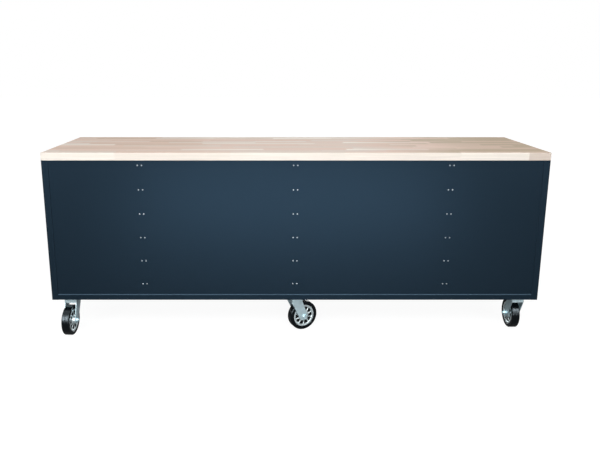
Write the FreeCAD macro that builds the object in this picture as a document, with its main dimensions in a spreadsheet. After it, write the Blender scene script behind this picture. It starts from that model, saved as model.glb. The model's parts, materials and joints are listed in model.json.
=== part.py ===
import FreeCAD, Part

import math
import os

import Sketcher
from FreeCAD import Placement, Rotation, Vector

# Rolling tool cabinet: a long sheet-steel carcass with a wooden worktop, sixteen drawers in four
# bays and six swivel casters. Millimetres. The origin is on the floor under the middle of the
# cabinet, +Z is up, the drawers open towards -Y and the riveted back faces +Y.

SIZES = {
    # Whole cabinet
    "overall_width": 2438,
    "overall_depth": 610,
    "caster_height": 190,
    "body_height": 708,
    "worktop_thickness": 38,
    "worktop_edge_radius": 2.5,
    # Folded sheet steel of the carcass
    "carcass_sheet": 1.5,
    "panel_sheet": 1,
    "bend_radius": 2.5,
    "hem_radius": 1.2,
    "side_flange": 32,
    "base_rail_height": 30,
    "top_rail_height": 30,
    "rear_lip_height": 10,
    "fit_gap": 0.5,
    # Dividers, side liners and the rivets that hold the back panel to the dividers
    "divider_offset": 749,
    "divider_width": 40,
    "divider_seam": 2,
    "liner_flange": 20,
    "rivet_rows": 6,
    "rivet_bottom": 84,
    "rivet_top": 24,
    "rivet_spacing": 20,
    "rivet_shank": 3.2,
    "rivet_hole_gap": 0.1,
    "rivet_head": 6.4,
    "rivet_head_height": 1,
    "rivet_head_radius": 0.8,
    "rivet_tail": 4.6,
    "rivet_tail_length": 3,
    # Drawers
    "shallow_front": 92,
    "medium_front": 122,
    "front_gap": 4,
    "front_reveal": 3,
    "front_depth": 16,
    "front_edge_radius": 1.5,
    "drawer_sheet": 1,
    "pan_depth": 560,
    "pan_raise": 8,
    "pan_drop": 14,
    # Drawer slides
    "slide_space": 13,
    "slide_length": 520,
    "slide_height": 35,
    "slide_sheet": 1.2,
    "slide_flange": 9,
    "slide_play": 0.3,
    "slide_lift": 28,
    "slide_setback": 1,
    # Extruded drawer pulls
    "pull_height": 24,
    "pull_reach": 18,
    "pull_nose": 11,
    "pull_wall": 2,
    "pull_radius": 5,
    # Key lock in the top rail
    "lock_offset": 375,
    "lock_barrel": 18,
    "lock_running_gap": 0.05,
    "lock_housing": 21.6,
    "lock_hole": 22,
    "lock_bezel": 25,
    "lock_bezel_thickness": 3,
    "lock_depth": 20,
    "lock_cam_gap": 0.3,
    "lock_cam_length": 22,
    "lock_cam_width": 8,
    "lock_cam_thickness": 3,
    "keyhole_length": 9,
    "keyhole_width": 2,
    "keyhole_depth": 6,
    # Caster mounting
    "caster_side_inset": 82,
    "caster_back_inset": 65,
    "channel_width": 110,
    "channel_sheet": 2.5,
    "plate_length": 105,
    "plate_width": 85,
    "plate_thickness": 4,
    "plate_corner_radius": 8,
    "bolt_pitch_long": 80,
    "bolt_pitch_short": 60,
    "bolt_shank": 8,
    "bolt_hole_gap": 0.3,
    "bolt_flats": 13,
    "bolt_head": 5.3,
    "bolt_nut": 6.8,
    "bolt_end": 1.5,
    # Swivel
    "race_diameter": 40,
    "race_height": 6,
    "swivel_gap": 0.3,
    "king_pin": 16,
    "king_pin_head": 26,
    "king_pin_head_height": 6,
    "running_gap": 0.05,
    "cup_gap": 1,
    "cup_wall": 3,
    "cup_height": 5,
    # Fork
    "trail": 47,
    "fork_sheet": 3.5,
    "fork_clearance": 8,
    "crown_clearance": 26.2,
    "fork_bend_radius": 7,
    "crown_front": 28,
    "crown_back": 32,
    "crown_drop": 20,
    "skirt_height": 18,
    "boss_radius": 19,
    "boss_shoulder": 3,
    "blank_margin": 12,
    # Axle
    "axle_bolt": 12,
    "axle_flats": 18,
    "axle_head": 7.5,
    "axle_nut": 10,
    "axle_end": 4,
    "sleeve_wall": 2.4,
    "sleeve_gap": 0.1,
    # Wheel
    "wheel_diameter": 152,
    "tyre_width": 38,
    "tyre_shoulder": 5,
    "rim_diameter": 113,
    "rim_width": 36,
    "rim_ring": 8.5,
    "rim_chamfer": 1.5,
    "rim_web": 32,
    "tyre_seat_gap": 0.05,
    "hub_diameter": 34,
    "hub_side_gap": 0.3,
    "window_count": 10,
    "window_inner": 55,
    "window_outer": 93,
    "spoke_width": 6.5,
    "window_radius": 2,
    "window_floor": 8,
    # Brake pedal of the two front corner casters
    "pedal_pivot_out": 20,
    "pedal_pivot_above": 13,
    "pedal_pin": 8,
    "pedal_hub": 13,
    "pedal_sheet": 4,
    "pedal_width": 50,
    "pedal_length": 99,
    "pedal_step": 38,
    "pedal_fall": 12,
    "shoe_start": 26,
    "shoe_length": 26,
    "shoe_depth": 4.8,
    # The way each caster trails, turned about the vertical from +X
    "front_left_turn": 290,
    "front_middle_turn": 160,
    "front_right_turn": 273.5,
    "rear_left_turn": 270.5,
    "rear_middle_turn": 205.5,
    "rear_right_turn": 86.5,
}

doc = FreeCAD.newDocument("rolling_tool_cabinet")
sheet = doc.addObject("Spreadsheet::Sheet", "dim")
for row, (alias, size) in enumerate(SIZES.items(), start=1):
    sheet.set("A%d" % row, alias)
    sheet.set("B%d" % row, str(size))
    sheet.setAlias("B%d" % row, alias)
doc.recompute()

# Places that several pieces share, written as expressions on the sheet
HALF_WIDTH = "dim.overall_width / 2"
HALF_DEPTH = "dim.overall_depth / 2"
BODY_TOP = "(dim.caster_height + dim.body_height)"
FLANGE_INSIDE = "(dim.overall_depth / 2 - 2 * dim.carcass_sheet)"
BACK_INSIDE = "(dim.overall_depth / 2 - 2 * dim.carcass_sheet - dim.panel_sheet)"
RAIL_END = "(dim.overall_width / 2 - dim.side_flange - dim.fit_gap)"
WALL_BOTTOM = "(dim.caster_height + dim.base_rail_height)"
WALL_HEIGHT = "(dim.body_height - dim.base_rail_height - dim.carcass_sheet)"
RIVET_SPAN = "(dim.body_height - dim.rivet_bottom - dim.rivet_top)"
CROWN_TOP = "(dim.wheel_diameter + dim.crown_clearance + dim.fork_sheet)"
PLATE_TOP = "(%s + dim.swivel_gap + dim.race_height + dim.plate_thickness)" % CROWN_TOP
LEG_INSIDE = "(dim.tyre_width / 2 + dim.fork_clearance)"
LEG_OUTSIDE = "(dim.tyre_width / 2 + dim.fork_clearance + dim.fork_sheet)"
CASTER_X = "(dim.overall_width / 2 - dim.caster_side_inset)"
CASTER_Y = "(dim.overall_depth / 2 - dim.caster_back_inset)"
PEDAL_Z = "(dim.wheel_diameter + dim.pedal_pivot_above)"

# Every finished sub-part, by the name of its file
nodes = {}


def number(expression):
    """The present value of an expression on the sheet."""
    return float(sheet.evalExpression(expression))


def origin_plane(body, role):
    """One of a body's own origin planes or axes."""
    return next(feature for feature in body.Origin.OriginFeatures if feature.Role == role)


def new_body(name):
    """An empty body."""
    return doc.addObject("PartDesign::Body", name)


def new_sketch(body, name, role, lift=None):
    """A sketch on a body's origin plane, lifted along the plane's normal if asked."""
    sketch = body.newObject("Sketcher::SketchObject", body.Name + "_" + name)
    sketch.AttachmentSupport = [(origin_plane(body, role), "")]
    sketch.MapMode = "FlatFace"
    if lift:
        sketch.setExpression("AttachmentOffset.Base.z", lift)
    return sketch


def bind(sketch, rule, expression):
    """Add a size to a sketch and tie it to the sheet."""
    index = sketch.addConstraint(rule)
    sketch.setExpression("Constraints[%d]" % index, expression)


def pin(sketch, geometry, vertex, across, up):
    """Tie a point of a sketch to its place from the sketch's origin."""
    bind(sketch, Sketcher.Constraint("DistanceX", -1, 1, geometry, vertex, number(across)), across)
    bind(sketch, Sketcher.Constraint("DistanceY", -1, 1, geometry, vertex, number(up)), up)


def round_corner(sketch, corner, point, before, after, line_in, line_out):
    """Join two lines of a loop by a tangent arc and tie the corner that they point at."""
    half_angle = before.getAngle(after) / 2
    radius = number(corner[2])
    centre = point + (before + after).normalize() * (radius / math.sin(half_angle))
    reach = radius / math.tan(half_angle)
    arm_in = point + before * reach - centre
    arm_out = point + after * reach - centre
    turns_left = after.cross(before).z > 0
    first, last = (arm_in, arm_out) if turns_left else (arm_out, arm_in)
    circle = Part.Circle(centre, Vector(0, 0, 1), radius)
    arc = Part.ArcOfCircle(circle, math.atan2(first.y, first.x), math.atan2(last.y, last.x))
    index = sketch.addGeometry(arc, False)
    end_in, end_out = (1, 2) if turns_left else (2, 1)
    sketch.addConstraint(Sketcher.Constraint("Tangent", line_in, 2, index, end_in))
    sketch.addConstraint(Sketcher.Constraint("Tangent", index, end_out, line_out, 1))
    bind(sketch, Sketcher.Constraint("Radius", index, radius), corner[2])
    tip = sketch.addGeometry(Part.Point(point), True)
    sketch.addConstraint(Sketcher.Constraint("PointOnObject", tip, 1, line_in))
    sketch.addConstraint(Sketcher.Constraint("PointOnObject", tip, 1, line_out))
    pin(sketch, tip, 1, corner[0], corner[1])


def loop(sketch, corners):
    """Draw a closed loop through corners, each (x, y) or, where it is rounded, (x, y, radius)."""
    start = sketch.GeometryCount
    count = len(corners)
    points = [Vector(number(corner[0]), number(corner[1]), 0) for corner in corners]
    arms = []
    for index, point in enumerate(points):
        before = (points[index - 1] - point).normalize()
        after = (points[(index + 1) % count] - point).normalize()
        arms.append((before, after))
    reaches = []
    for corner, (before, after) in zip(corners, arms):
        rounded = len(corner) == 3
        reaches.append(number(corner[2]) / math.tan(before.getAngle(after) / 2) if rounded else 0)
    for index, point in enumerate(points):
        following = (index + 1) % count
        line_start = point + arms[index][1] * reaches[index]
        line_end = points[following] + arms[following][0] * reaches[following]
        sketch.addGeometry(Part.LineSegment(line_start, line_end), False)
    for index, corner in enumerate(corners):
        line_in = start + (index - 1) % count
        line_out = start + index
        if len(corner) == 3:
            round_corner(sketch, corner, points[index], *arms[index], line_in, line_out)
        else:
            sketch.addConstraint(Sketcher.Constraint("Coincident", line_in, 2, line_out, 1))
            pin(sketch, line_out, 1, corner[0], corner[1])


def box_loop(sketch, left, right, low, high, radius=None):
    """Draw a rectangle, with rounded corners if a radius is given."""
    extra = (radius,) if radius else ()
    loop(sketch, [(x, y) + extra for x, y in ((left, low), (right, low), (right, high), (left, high))])


def circle(sketch, across, up, diameter):
    """Draw a circle at a tied place."""
    shape = Part.Circle(Vector(number(across), number(up), 0), Vector(0, 0, 1), number(diameter) / 2)
    index = sketch.addGeometry(shape, False)
    pin(sketch, index, 3, across, up)
    bind(sketch, Sketcher.Constraint("Diameter", index, number(diameter)), diameter)


def hexagon(sketch, flats):
    """Draw a hexagon about the sketch's origin from its width across flats."""
    corner = "%s / sqrt(3) * %s(%d)"
    loop(sketch, [(corner % (flats, "cos", 60 * k), corner % (flats, "sin", 60 * k)) for k in range(6)])


def extrude(body, kind, sketch, length=None, symmetric=False, reverse=False):
    """Pad or pocket a sketch by a length, or right through when none is given."""
    feature = body.newObject("PartDesign::" + kind, sketch.Name + "_" + kind.lower())
    feature.Profile = sketch
    feature.SideType = "Symmetric" if symmetric else "One side"
    feature.Reversed = reverse
    if length is None:
        feature.Type = "ThroughAll"
    else:
        feature.setExpression("Length", length)
    return feature


def revolve(body, sketch):
    """Turn a half section about the upright axis of its sketch."""
    feature = body.newObject("PartDesign::Revolution", sketch.Name + "_turned")
    feature.Profile = sketch
    feature.ReferenceAxis = (sketch, ["V_Axis"])
    return feature


def fillet(body, base, radius, chosen):
    """Round the edges of a feature for which chosen says yes."""
    doc.recompute()
    names = ["Edge%d" % (k + 1) for k, edge in enumerate(base.Shape.Edges) if chosen(edge)]
    feature = body.newObject("PartDesign::Fillet", base.Name + "_rounded")
    feature.Base = (base, names)
    feature.setExpression("Radius", radius)
    return feature


def repeat_up(body, original, length, count):
    """Repeat a feature upwards in even steps over a length."""
    feature = body.newObject("PartDesign::LinearPattern", original.Name + "_rows")
    feature.Originals = [original]
    feature.Direction = (origin_plane(body, "Z_Axis"), [""])
    feature.setExpression("Length", length)
    feature.setExpression("Occurrences", count)
    body.Tip = feature


def profile_body(name, role, corners, length, symmetric=False, reverse=False):
    """A body of one section, pushed out by a length."""
    body = new_body(name)
    section = new_sketch(body, "section", role)
    loop(section, corners)
    extrude(body, "Pad", section, length, symmetric, reverse)
    return body


def place(thing, x="0", y="0", z="0", turn=None):
    """Tie a piece's place, and its turn about the vertical, to the sheet."""
    if turn:
        thing.Placement = Placement(Vector(), Rotation(Vector(0, 0, 1), number(turn)))
        thing.setExpression("Placement.Rotation.Angle", turn)
    for axis, expression in zip("xyz", (x, y, z)):
        thing.setExpression("Placement.Base." + axis, expression)
    return thing


def group(name, members):
    """Pieces kept together as separate solids."""
    thing = doc.addObject("Part::Compound", name)
    thing.Links = members
    return thing


def lie_along_y(body, towards_front):
    """Turn a body made along Z so that its top points to the front or to the back."""
    body.Placement = Placement(Vector(), Rotation(Vector(1, 0, 0), 90 if towards_front else -90))
    return body


def make_worktop():
    """Glued wood slab with eased edges, flush with the carcass all round."""
    body = new_body("worktop")
    slab = new_sketch(body, "slab", "XY_Plane")
    box_loop(slab, "-" + HALF_WIDTH, HALF_WIDTH, "-" + HALF_DEPTH, HALF_DEPTH)
    pad = extrude(body, "Pad", slab, "dim.worktop_thickness")
    fillet(body, pad, "dim.worktop_edge_radius", lambda edge: True)
    nodes["worktop"] = place(body, z=BODY_TOP)


def make_side_panel(name, side):
    """Outer side sheet whose hemmed flanges wrap round the front and the back."""
    outer = "%d * %s" % (side, HALF_WIDTH)
    inner = "%d * (%s - dim.carcass_sheet)" % (side, HALF_WIDTH)
    flange = "%d * (%s - dim.side_flange)" % (side, HALF_WIDTH)
    corners = [
        (flange, "-" + HALF_DEPTH, "dim.hem_radius"),
        (outer, "-" + HALF_DEPTH, "dim.bend_radius"),
        (outer, HALF_DEPTH, "dim.bend_radius"),
        (flange, HALF_DEPTH, "dim.hem_radius"),
        (flange, FLANGE_INSIDE),
        (inner, FLANGE_INSIDE),
        (inner, "-" + FLANGE_INSIDE),
        (flange, "-" + FLANGE_INSIDE),
    ]
    body = profile_body(name, "XY_Plane", corners, "dim.body_height - dim.carcass_sheet")
    nodes[name] = place(body, z="dim.caster_height")


def make_base_frame():
    """Cabinet floor with hemmed rails hanging down at the front and the back."""
    rail = "dim.base_rail_height"
    under = "(dim.base_rail_height - dim.carcass_sheet)"
    corners = [
        ("-" + HALF_DEPTH, "0", "dim.hem_radius"),
        ("-" + HALF_DEPTH, rail, "dim.bend_radius"),
        (HALF_DEPTH, rail, "dim.bend_radius"),
        (HALF_DEPTH, "0", "dim.hem_radius"),
        (FLANGE_INSIDE, "0"),
        (FLANGE_INSIDE, under),
        ("-" + FLANGE_INSIDE, under),
        ("-" + FLANGE_INSIDE, "0"),
    ]
    body = profile_body("base_frame", "YZ_Plane", corners, "2 * " + RAIL_END, symmetric=True)
    floor = new_sketch(body, "floor", "XY_Plane", under)
    reach = "(%s - dim.carcass_sheet)" % HALF_WIDTH
    box_loop(floor, "-" + reach, reach, "-" + FLANGE_INSIDE, FLANGE_INSIDE)
    extrude(body, "Pad", floor, "dim.carcass_sheet")
    nodes["base_frame"] = place(body, z="dim.caster_height")


def make_top_deck():
    """Deck under the worktop with a front rail and a rear lip folded down."""
    front_inside = "(-%s + dim.carcass_sheet)" % HALF_DEPTH
    back_inside = "(%s - dim.carcass_sheet)" % HALF_DEPTH
    corners = [
        ("-" + HALF_DEPTH, "0"),
        ("-" + HALF_DEPTH, "-dim.top_rail_height"),
        (front_inside, "-dim.top_rail_height"),
        (front_inside, "-dim.carcass_sheet"),
        (back_inside, "-dim.carcass_sheet"),
        (back_inside, "-dim.rear_lip_height"),
        (HALF_DEPTH, "-dim.rear_lip_height"),
        (HALF_DEPTH, "0"),
    ]
    body = profile_body("top_deck", "YZ_Plane", corners, "2 * " + RAIL_END, symmetric=True)
    deck = new_sketch(body, "deck", "XY_Plane", "-dim.carcass_sheet")
    box_loop(deck, "-" + HALF_WIDTH, HALF_WIDTH, "-" + HALF_DEPTH, HALF_DEPTH)
    extrude(body, "Pad", deck, "dim.carcass_sheet")
    lock_hole = new_sketch(body, "lock_hole", "XZ_Plane")
    circle(lock_hole, "dim.lock_offset", "-(dim.top_rail_height + dim.carcass_sheet) / 2", "dim.lock_hole")
    extrude(body, "Pocket", lock_hole, reverse=True)
    nodes["top_deck"] = place(body, z=BODY_TOP)


def make_back_panel():
    """Back sheet behind the wrapped flanges, pierced for the rivets."""
    body = new_body("back_panel")
    edge = "(%s - dim.carcass_sheet - dim.fit_gap)" % HALF_WIDTH
    blank = new_sketch(body, "blank", "XZ_Plane")
    box_loop(blank, "-" + edge, edge, "0", WALL_HEIGHT)
    extrude(body, "Pad", blank, "dim.panel_sheet")
    holes = new_sketch(body, "rivet_holes", "XZ_Plane")
    for across in RIVET_COLUMNS:
        circle(holes, across, "dim.rivet_bottom - dim.base_rail_height",
               "(dim.rivet_shank + 2 * dim.rivet_hole_gap)")
    pocket = extrude(body, "Pocket", holes, symmetric=True)
    repeat_up(body, pocket, RIVET_SPAN, "dim.rivet_rows")
    nodes["back_panel"] = place(body, y=FLANGE_INSIDE, z=WALL_BOTTOM)


def make_divider(name, across):
    """Double-wall divider of two folded skins, their flanges meeting at a seam."""
    skins = []
    for side, word in ((-1, "left"), (1, "right")):
        seam = "%d * dim.divider_seam / 2" % side
        outer = "%d * dim.divider_width / 2" % side
        inner = "%d * (dim.divider_width / 2 - dim.panel_sheet)" % side
        corners = [
            (seam, "-" + FLANGE_INSIDE),
            (outer, "-" + FLANGE_INSIDE, "dim.hem_radius"),
            (outer, BACK_INSIDE, "dim.hem_radius"),
            (seam, BACK_INSIDE),
            (seam, BACK_INSIDE + " - dim.panel_sheet"),
            (inner, BACK_INSIDE + " - dim.panel_sheet"),
            (inner, "-%s + dim.panel_sheet" % FLANGE_INSIDE),
            (seam, "-%s + dim.panel_sheet" % FLANGE_INSIDE),
        ]
        body = profile_body("%s_%s_skin" % (name, word), "XY_Plane", corners, WALL_HEIGHT)
        holes = new_sketch(body, "rivet_holes", "XZ_Plane")
        circle(holes, "%d * dim.rivet_spacing / 2" % side, "dim.rivet_bottom - dim.base_rail_height",
               "(dim.rivet_shank + 2 * dim.rivet_hole_gap)")
        pocket = extrude(body, "Pocket", holes)
        repeat_up(body, pocket, RIVET_SPAN, "dim.rivet_rows")
        skins.append(body)
    nodes[name] = place(group(name, skins), x=across, z=WALL_BOTTOM)


def make_side_liner(name, side):
    """Inner side sheet that carries the drawer slides of an outer bay."""
    face = "%d * (%s - dim.side_flange)" % (side, HALF_WIDTH)
    behind = "%d * (%s - dim.side_flange + dim.panel_sheet)" % (side, HALF_WIDTH)
    edge = "%d * (%s - dim.side_flange + dim.liner_flange)" % (side, HALF_WIDTH)
    corners = [
        (face, "-" + FLANGE_INSIDE, "dim.hem_radius"),
        (edge, "-" + FLANGE_INSIDE),
        (edge, "-%s + dim.panel_sheet" % FLANGE_INSIDE),
        (behind, "-%s + dim.panel_sheet" % FLANGE_INSIDE),
        (behind, BACK_INSIDE + " - dim.panel_sheet"),
        (edge, BACK_INSIDE + " - dim.panel_sheet"),
        (edge, BACK_INSIDE),
        (face, BACK_INSIDE, "dim.hem_radius"),
    ]
    nodes[name] = place(profile_body(name, "XY_Plane", corners, WALL_HEIGHT), z=WALL_BOTTOM)


def make_rivets():
    """Blind rivets through the back panel and the divider flanges, in rows of pairs."""
    master = lie_along_y(new_body("rivet"), towards_front=False)
    section = new_sketch(master, "section", "XZ_Plane")
    grip = "-2 * dim.panel_sheet"
    loop(section, [
        ("0", grip + " - dim.rivet_tail_length"),
        ("dim.rivet_tail / 2", grip + " - dim.rivet_tail_length"),
        ("dim.rivet_tail / 2", grip),
        ("dim.rivet_shank / 2", grip),
        ("dim.rivet_shank / 2", "0"),
        ("dim.rivet_head / 2", "0"),
        ("dim.rivet_head / 2", "dim.rivet_head_height", "dim.rivet_head_radius"),
        ("0", "dim.rivet_head_height"),
    ])
    revolve(master, section)
    rivets = []
    for row in range(int(number("dim.rivet_rows"))):
        height = "dim.caster_height + dim.rivet_bottom + %s * %d / (dim.rivet_rows - 1)" % (RIVET_SPAN, row)
        for column, across in enumerate(RIVET_COLUMNS):
            rivet = group("rivet_%d_%d" % (row, column), [master])
            rivets.append(place(rivet, across, FLANGE_INSIDE, height))
    nodes["back_rivets"] = group("back_rivets", rivets)


def make_pull(name, width, height):
    """Extruded grip along the top edge of a drawer front, open underneath for the fingers."""
    lip = height + " - dim.pull_wall"
    nose = "-(dim.pull_reach - dim.pull_wall)"
    inner_radius = "(dim.pull_radius - dim.pull_wall)"
    corners = [
        ("0", height + " - dim.pull_height"),
        ("0", height),
        ("-dim.pull_reach", height, "dim.pull_radius"),
        ("-dim.pull_reach", height + " - dim.pull_nose"),
        (nose, height + " - dim.pull_nose"),
        (nose, lip, inner_radius),
        ("-dim.pull_wall", lip, inner_radius),
        ("-dim.pull_wall", height + " - dim.pull_height"),
    ]
    return profile_body(name, "YZ_Plane", corners, width, symmetric=True)


def make_front(name, width, height):
    """Drawer front: a shallow tray of sheet with rounded edges, open at the back."""
    body = new_body(name)
    half = "(%s) / 2" % width
    block = new_sketch(body, "block", "XZ_Plane")
    box_loop(block, "-" + half, half, "0", height)
    pad = extrude(body, "Pad", block, "dim.front_depth", reverse=True)
    face_edges = lambda edge: max(abs(vertex.Y) for vertex in edge.Vertexes) < 1e-6
    fillet(body, pad, "dim.front_edge_radius", face_edges)
    hollow = new_sketch(body, "hollow", "XZ_Plane", "-dim.front_depth")
    inside = "(%s - dim.drawer_sheet)" % half
    box_loop(hollow, "-" + inside, inside, "dim.drawer_sheet", height + " - dim.drawer_sheet")
    extrude(body, "Pocket", hollow, "dim.front_depth - dim.drawer_sheet", reverse=True)
    return body


def make_pan(name, bay_width, height):
    """Drawer pan: a folded tray whose front wall lies against the inside of the drawer front."""
    body = new_body(name)
    half = "((%s) / 2 - dim.slide_space)" % bay_width
    back = "(dim.drawer_sheet + dim.pan_depth)"
    block = new_sketch(body, "block", "XY_Plane", "dim.pan_raise")
    box_loop(block, "-" + half, half, "dim.drawer_sheet", back)
    pan_height = "(%s - dim.pan_raise - dim.pan_drop)" % height
    extrude(body, "Pad", block, pan_height)
    hollow = new_sketch(body, "hollow", "XY_Plane", height + " - dim.pan_drop")
    inside = "(%s - dim.drawer_sheet)" % half
    box_loop(hollow, "-" + inside, inside, "2 * dim.drawer_sheet", back + " - dim.drawer_sheet")
    extrude(body, "Pocket", hollow, pan_height + " - dim.drawer_sheet")
    return body


def channel(name, web, tip, half_height, sign):
    """Slide member: a channel along the drawer, web upright at web, flanges reaching to tip."""
    middle = "dim.pan_raise + dim.slide_lift"
    top = "%s + %s" % (middle, half_height)
    low = "%s - %s" % (middle, half_height)
    inside = "%s + %d * dim.slide_sheet" % (web, sign)
    corners = [
        (web, low),
        (tip, low),
        (tip, low + " + dim.slide_sheet"),
        (inside, low + " + dim.slide_sheet"),
        (inside, top + " - dim.slide_sheet"),
        (tip, top + " - dim.slide_sheet"),
        (tip, top),
        (web, top),
    ]
    return profile_body(name, "XZ_Plane", corners, "dim.slide_length", reverse=True)


def make_slides(name, bay_width):
    """The fixed and the moving members of a pair of slides, for one width of bay."""
    fixed = []
    moving = []
    for side, word in ((-1, "left"), (1, "right")):
        wall = "%d * (%s) / 2" % (side, bay_width)
        pan = "%d * ((%s) / 2 - dim.slide_space)" % (side, bay_width)
        outer_tip = "%d * ((%s) / 2 - dim.slide_flange)" % (side, bay_width)
        inner_tip = "%d * ((%s) / 2 - dim.slide_space + dim.slide_flange)" % (side, bay_width)
        inner_half = "(dim.slide_height / 2 - dim.slide_sheet - dim.slide_play)"
        rail = channel("%s_%s_rail" % (name, word), wall, outer_tip, "dim.slide_height / 2", -side)
        runner = channel("%s_%s_runner" % (name, word), pan, inner_tip, inner_half, side)
        fixed.append(place(rail, y="dim.front_depth + dim.slide_setback"))
        moving.append(place(runner, y="dim.front_depth"))
    return fixed, moving


def make_drawers():
    """Five drawers in each inner bay and three in each outer bay, with their slides."""
    deep = ("(dim.body_height - dim.base_rail_height - dim.top_rail_height - 2 * dim.front_reveal"
            " - 4 * dim.front_gap - 2 * dim.shallow_front - 2 * dim.medium_front)")
    heights = {
        "shallow": "dim.shallow_front",
        "medium": "dim.medium_front",
        "double_shallow": "(2 * dim.shallow_front + dim.front_gap)",
        "double_medium": "(2 * dim.medium_front + dim.front_gap)",
        "deep": deep,
    }
    rows = {
        "inner": ("shallow", "shallow", "medium", "medium", "deep"),
        "outer": ("double_shallow", "double_medium", "deep"),
    }
    masters = {}
    rails = {}
    for kind, names in rows.items():
        left, right = BAYS["right_" + kind]
        bay_width = "(%s) - (%s)" % (right, left)
        front_width = bay_width + " - 2 * dim.front_reveal"
        rails[kind], runners = make_slides(kind, bay_width)
        for depth in dict.fromkeys(names):
            word = "%s_%s_drawer" % (kind, depth)
            front = make_front(word + "_front", front_width, heights[depth])
            pan = make_pan(word + "_pan", bay_width, heights[depth])
            pull = make_pull(word + "_pull", front_width, heights[depth])
            masters[kind, depth] = [front, pan, pull] + runners
    fixed = []
    for bay, (left, right) in BAYS.items():
        kind = bay.split("_")[1]
        middle = "((%s) + (%s)) / 2" % (left, right)
        top = BODY_TOP + " - dim.top_rail_height - dim.front_reveal"
        for row, depth in enumerate(rows[kind], start=1):
            low = "%s - %s" % (top, heights[depth])
            name = "%s_drawer_%d" % (bay, row)
            nodes[name] = place(group(name, masters[kind, depth]), middle, "-" + HALF_DEPTH, low)
            pair = group(name + "_rails", rails[kind])
            fixed.append(place(pair, middle, "-" + HALF_DEPTH, low))
            top = low + " - dim.front_gap"
    nodes["slide_rails"] = group("slide_rails", fixed)


def make_lock():
    """Key lock: a housing with its bezel in the top rail, and the barrel that turns in it."""
    height = "%s - (dim.top_rail_height + dim.carcass_sheet) / 2" % BODY_TOP
    bore = "(dim.lock_barrel / 2 + dim.lock_running_gap)"
    housing = lie_along_y(new_body("lock_housing"), towards_front=True)
    section = new_sketch(housing, "section", "XZ_Plane")
    loop(section, [
        (bore, "-dim.lock_depth"),
        ("dim.lock_housing / 2", "-dim.lock_depth"),
        ("dim.lock_housing / 2", "0"),
        ("dim.lock_bezel / 2", "0"),
        ("dim.lock_bezel / 2", "dim.lock_bezel_thickness", "dim.lock_bezel_thickness / 2"),
        (bore, "dim.lock_bezel_thickness"),
    ])
    revolve(housing, section)
    barrel = lie_along_y(new_body("lock_plug"), towards_front=True)
    length = "(dim.lock_depth + dim.lock_cam_gap)"
    disc = new_sketch(barrel, "disc", "XY_Plane", "-" + length)
    circle(disc, "0", "0", "dim.lock_barrel")
    extrude(barrel, "Pad", disc, length + " + dim.lock_bezel_thickness")
    cam = new_sketch(barrel, "cam", "XY_Plane", "-" + length)
    box_loop(cam, "-dim.lock_cam_length / 2", "dim.lock_cam_length / 2",
             "-dim.lock_cam_width / 2", "dim.lock_cam_width / 2")
    extrude(barrel, "Pad", cam, "dim.lock_cam_thickness", reverse=True)
    keyhole = new_sketch(barrel, "keyhole", "XY_Plane", "dim.lock_bezel_thickness")
    box_loop(keyhole, "-dim.keyhole_width / 2", "dim.keyhole_width / 2",
             "-dim.keyhole_length / 2", "dim.keyhole_length / 2")
    extrude(barrel, "Pocket", keyhole, "dim.keyhole_depth")
    for name, piece in (("lock_bezel", housing), ("lock_barrel", barrel)):
        nodes[name] = place(group(name, [piece]), "dim.lock_offset", "-" + HALF_DEPTH, height)


def make_caster_channels():
    """Channels from the caster plates up to the cabinet floor, which the casters are bolted to."""
    half = "dim.channel_width / 2"
    high = "(dim.caster_height + dim.base_rail_height - dim.carcass_sheet - %s)" % PLATE_TOP
    wall = "(dim.channel_width / 2 - dim.channel_sheet)"
    corners = [
        ("-" + half, "0", "dim.bend_radius"),
        (half, "0", "dim.bend_radius"),
        (half, high),
        (wall, high),
        (wall, "dim.channel_sheet"),
        ("-" + wall, "dim.channel_sheet"),
        ("-" + wall, high),
        ("-" + half, high),
    ]
    length = "2 * (%s - dim.fit_gap)" % FLANGE_INSIDE
    master = profile_body("channel", "XZ_Plane", corners, length, symmetric=True)
    holes = new_sketch(master, "bolt_holes", "XY_Plane")
    for row in (-1, 1):
        for across, along in BOLT_PLACES:
            circle(holes, across, "%d * %s + %s" % (row, CASTER_Y, along),
                   "(dim.bolt_shank + 2 * dim.bolt_hole_gap)")
    extrude(master, "Pocket", holes, "2 * dim.channel_sheet", symmetric=True)
    channels = []
    for column in (-1, 0, 1):
        copy = group("channel_%d" % (column + 2), [master])
        channels.append(place(copy, "%d * %s" % (column, CASTER_X), z=PLATE_TOP))
    nodes["caster_channels"] = group("caster_channels", channels)


def make_caster_plate():
    """Caster top plate with its race and king pin, hanging from the underside of a channel."""
    body = new_body("caster_plate")
    plate = new_sketch(body, "plate", "XY_Plane", "-dim.plate_thickness")
    box_loop(plate, "-dim.plate_length / 2", "dim.plate_length / 2",
             "-dim.plate_width / 2", "dim.plate_width / 2", "dim.plate_corner_radius")
    for across, along in BOLT_PLACES:
        circle(plate, across, along, "(dim.bolt_shank + 2 * dim.bolt_hole_gap)")
    extrude(body, "Pad", plate, "dim.plate_thickness")
    pin_section = new_sketch(body, "king_pin", "XZ_Plane")
    race_low = "-(dim.plate_thickness + dim.race_height)"
    head_top = "-(dim.plate_thickness + dim.race_height + dim.fork_sheet + 2 * dim.swivel_gap)"
    head_low = head_top + " - dim.king_pin_head_height"
    loop(pin_section, [
        ("0", "-dim.plate_thickness / 2"),
        ("0", head_low),
        ("dim.king_pin_head / 2", head_low),
        ("dim.king_pin_head / 2", head_top),
        ("dim.king_pin / 2", head_top),
        ("dim.king_pin / 2", race_low),
        ("dim.race_diameter / 2", race_low),
        ("dim.race_diameter / 2", "-dim.plate_thickness / 2"),
    ])
    revolve(body, pin_section)
    return body


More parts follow.
